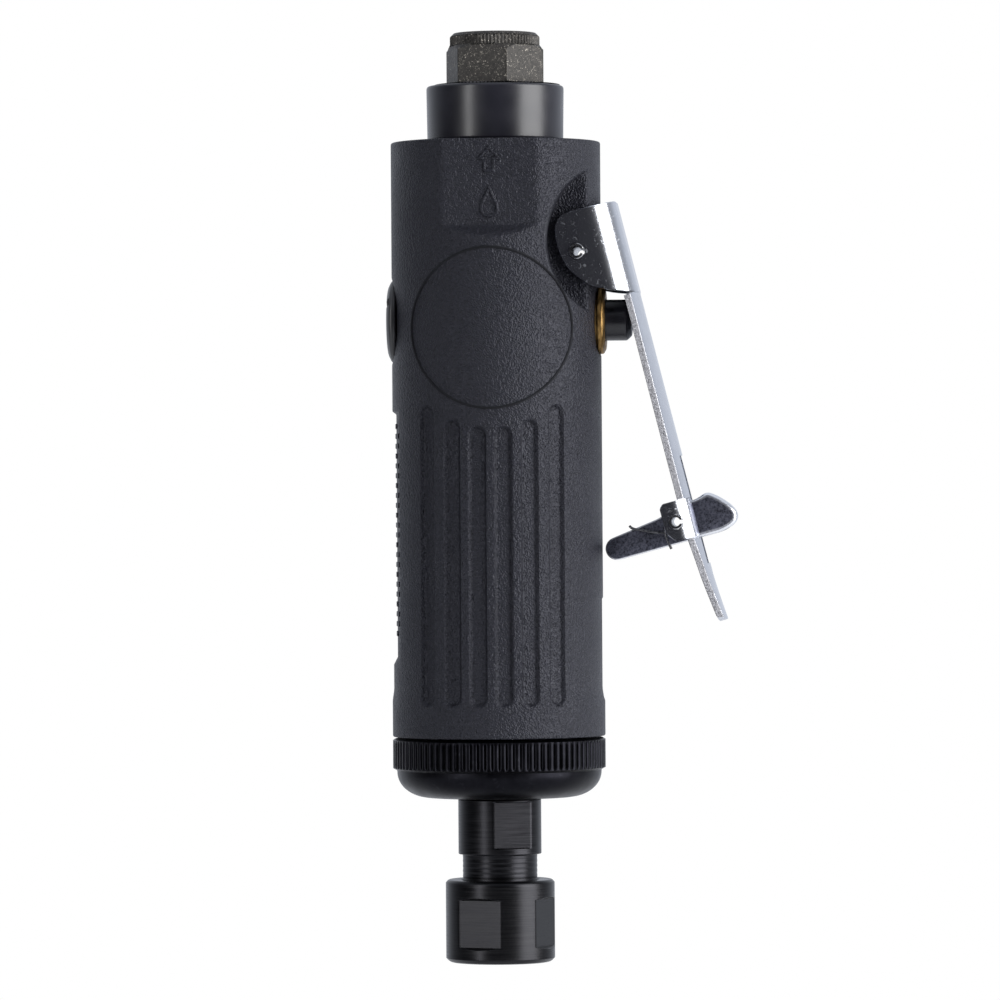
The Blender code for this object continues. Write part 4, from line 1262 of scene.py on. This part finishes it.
# ---------------------------------------------------------------------------
# Pieces inside, mostly out of sight: ground bearing races and balls, a vane motor,
# seals, a felt and the collet. They keep their shapes and take real finishes.
# ---------------------------------------------------------------------------
ground_steel = turned_paint(
    "ground_steel", (0.38, 0.38, 0.39), (0.62, 0.62, 0.63), (0.1, 0.1, 1.0), 4200.0,
    (0.16, 0.3), 0.00002,
)
soft_rubber = satin_paint("soft_rubber", (0.012, 0.012, 0.012), (0.024, 0.024, 0.024), 0.55, 0.0)
board = turned_paint(
    "phenolic_board", (0.20, 0.10, 0.04), (0.36, 0.20, 0.09), (1.0, 1.0, 0.15), 2400.0,
    (0.4, 0.55), 0.00004, metallic=0.0,
)
wool = coat_paint("wool_felt", (0.24, 0.21, 0.17), (0.52, 0.48, 0.41), 1500.0, 0.0003, (0.8, 0.95))
finishes = {
    soft_rubber: ("inlet_seal", "regulator_seal", "plunger_seal", "valve_disc"),
    board: ("vane_1", "vane_2", "vane_3", "vane_4"),
    wool: ("exhaust_muffler", "dust_felt"),
    sleeve_black: ("valve_seat",),
    oxide_steel: ("wave_spring",),
    ground_steel: (
        "inlet_screen", "valve_spring", "locating_pin", "front_bearing_outer_race",
        "front_bearing_inner_race", "front_ball_cage", "rear_bearing_outer_race",
        "rear_bearing_inner_race", "rear_ball_cage", "front_end_plate", "rear_end_plate",
        "cylinder", "rotor", "front_spacer", "collet",
    ),
}
for paint, names in finishes.items():
    for name in names:
        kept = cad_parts[name].data
        for i in range(len(kept.materials)):
            kept.materials[i] = paint

# ---------------------------------------------------------------------------
# Studio: a room lit from behind and above that the camera sees as white, a pale floor, a
# broad softbox on the right, a narrow one on the left, and a camera level with the middle.
# ---------------------------------------------------------------------------
FLOOR_Z = -0.25
FLOOR_R = 0.45
turns = turn(64)
rim_points = np.stack([FLOOR_R * np.cos(turns), FLOOR_R * np.sin(turns), np.zeros(64)], -1)
floor_mesh = bpy.data.meshes.new("floor")
floor_mesh.from_pydata((rim_points + (0, 0, FLOOR_Z)).tolist(), [], [list(range(64))])
floor = bpy.data.objects.new("floor", floor_mesh)
bpy.context.scene.collection.objects.link(floor)
floor_paint = coat_paint(
    "pale_floor", (0.78, 0.78, 0.78), (0.84, 0.84, 0.84), 300.0, 0.0001, (0.7, 0.8)
)
floor.data.materials.append(floor_paint)

world = bpy.data.worlds.new("white_room")
bpy.context.scene.world = world
world.use_nodes = True
room = world.node_tree
way = node(room, "ShaderNodeTexCoord")
axes = node(room, "ShaderNodeSeparateXYZ")
room.links.new(way.outputs["Generated"], axes.inputs["Vector"])
behind = ranged(room, axes.outputs["Y"], -0.05, 0.7, 0.0, 1.0)
above = ranged(room, axes.outputs["Z"], 0.3, 0.85, 0.0, 1.0)
most = node(room, "ShaderNodeMath", operation="MAXIMUM")
room.links.new(behind.outputs["Result"], most.inputs[0])
room.links.new(above.outputs["Result"], most.inputs[1])
wall = blended(room, most.outputs[0], (0.025, 0.025, 0.030), (0.72, 0.76, 0.84))
path = node(room, "ShaderNodeLightPath")
seen = node(room, "ShaderNodeMix", {"B": (1, 1, 1, 1)}, data_type="RGBA")
room.links.new(path.outputs["Is Camera Ray"], seen.inputs["Factor"])
room.links.new(wall.outputs["Color"], seen.inputs["A"])
room.links.new(seen.outputs["Result"], room.nodes["Background"].inputs["Color"])

MIDDLE = Vector((0, 0, -0.0895))


def softbox(name, azimuth, height, distance, wide, tall, watts):
    """Rectangular light at an azimuth from -Y towards +X, facing the tool's middle."""
    lamp = bpy.data.lights.new(name, "AREA")
    lamp.shape = "RECTANGLE"
    lamp.size = wide
    lamp.size_y = tall
    lamp.energy = watts
    box = bpy.data.objects.new(name, lamp)
    around = math.radians(azimuth)
    place = Vector((distance * math.sin(around), -distance * math.cos(around), height))
    box.location = place
    box.rotation_euler = (MIDDLE - place).to_track_quat("-Z", "Y").to_euler()
    bpy.context.scene.collection.objects.link(box)


softbox("right_softbox", 68, 0.02, 0.8, 0.62, 0.9, 13)
softbox("left_softbox", -41, 0.05, 0.9, 0.16, 0.9, 3.6)

CAMERA_REACH = 1.25
CAMERA_Z = -0.0900
eye = bpy.data.cameras.new("camera")
eye.lens = 233.3
eye.sensor_width = 36
eye.shift_x = 0.0023
eye.clip_start = 0.05
camera = bpy.data.objects.new("camera", eye)
swing = math.radians(4)
camera_place = Vector(
    (CAMERA_REACH * math.sin(swing), -CAMERA_REACH * math.cos(swing), CAMERA_Z)
)
camera.matrix_world = (
    Matrix.Translation(camera_place) @ Matrix.Rotation(swing, 4, "Z")
    @ Matrix.Rotation(math.radians(90), 4, "X") @ Matrix.Rotation(math.radians(-0.38), 4, "Z")
)
bpy.context.scene.collection.objects.link(camera)
bpy.context.scene.camera = camera
bpy.context.scene.view_settings.view_transform = "Standard"
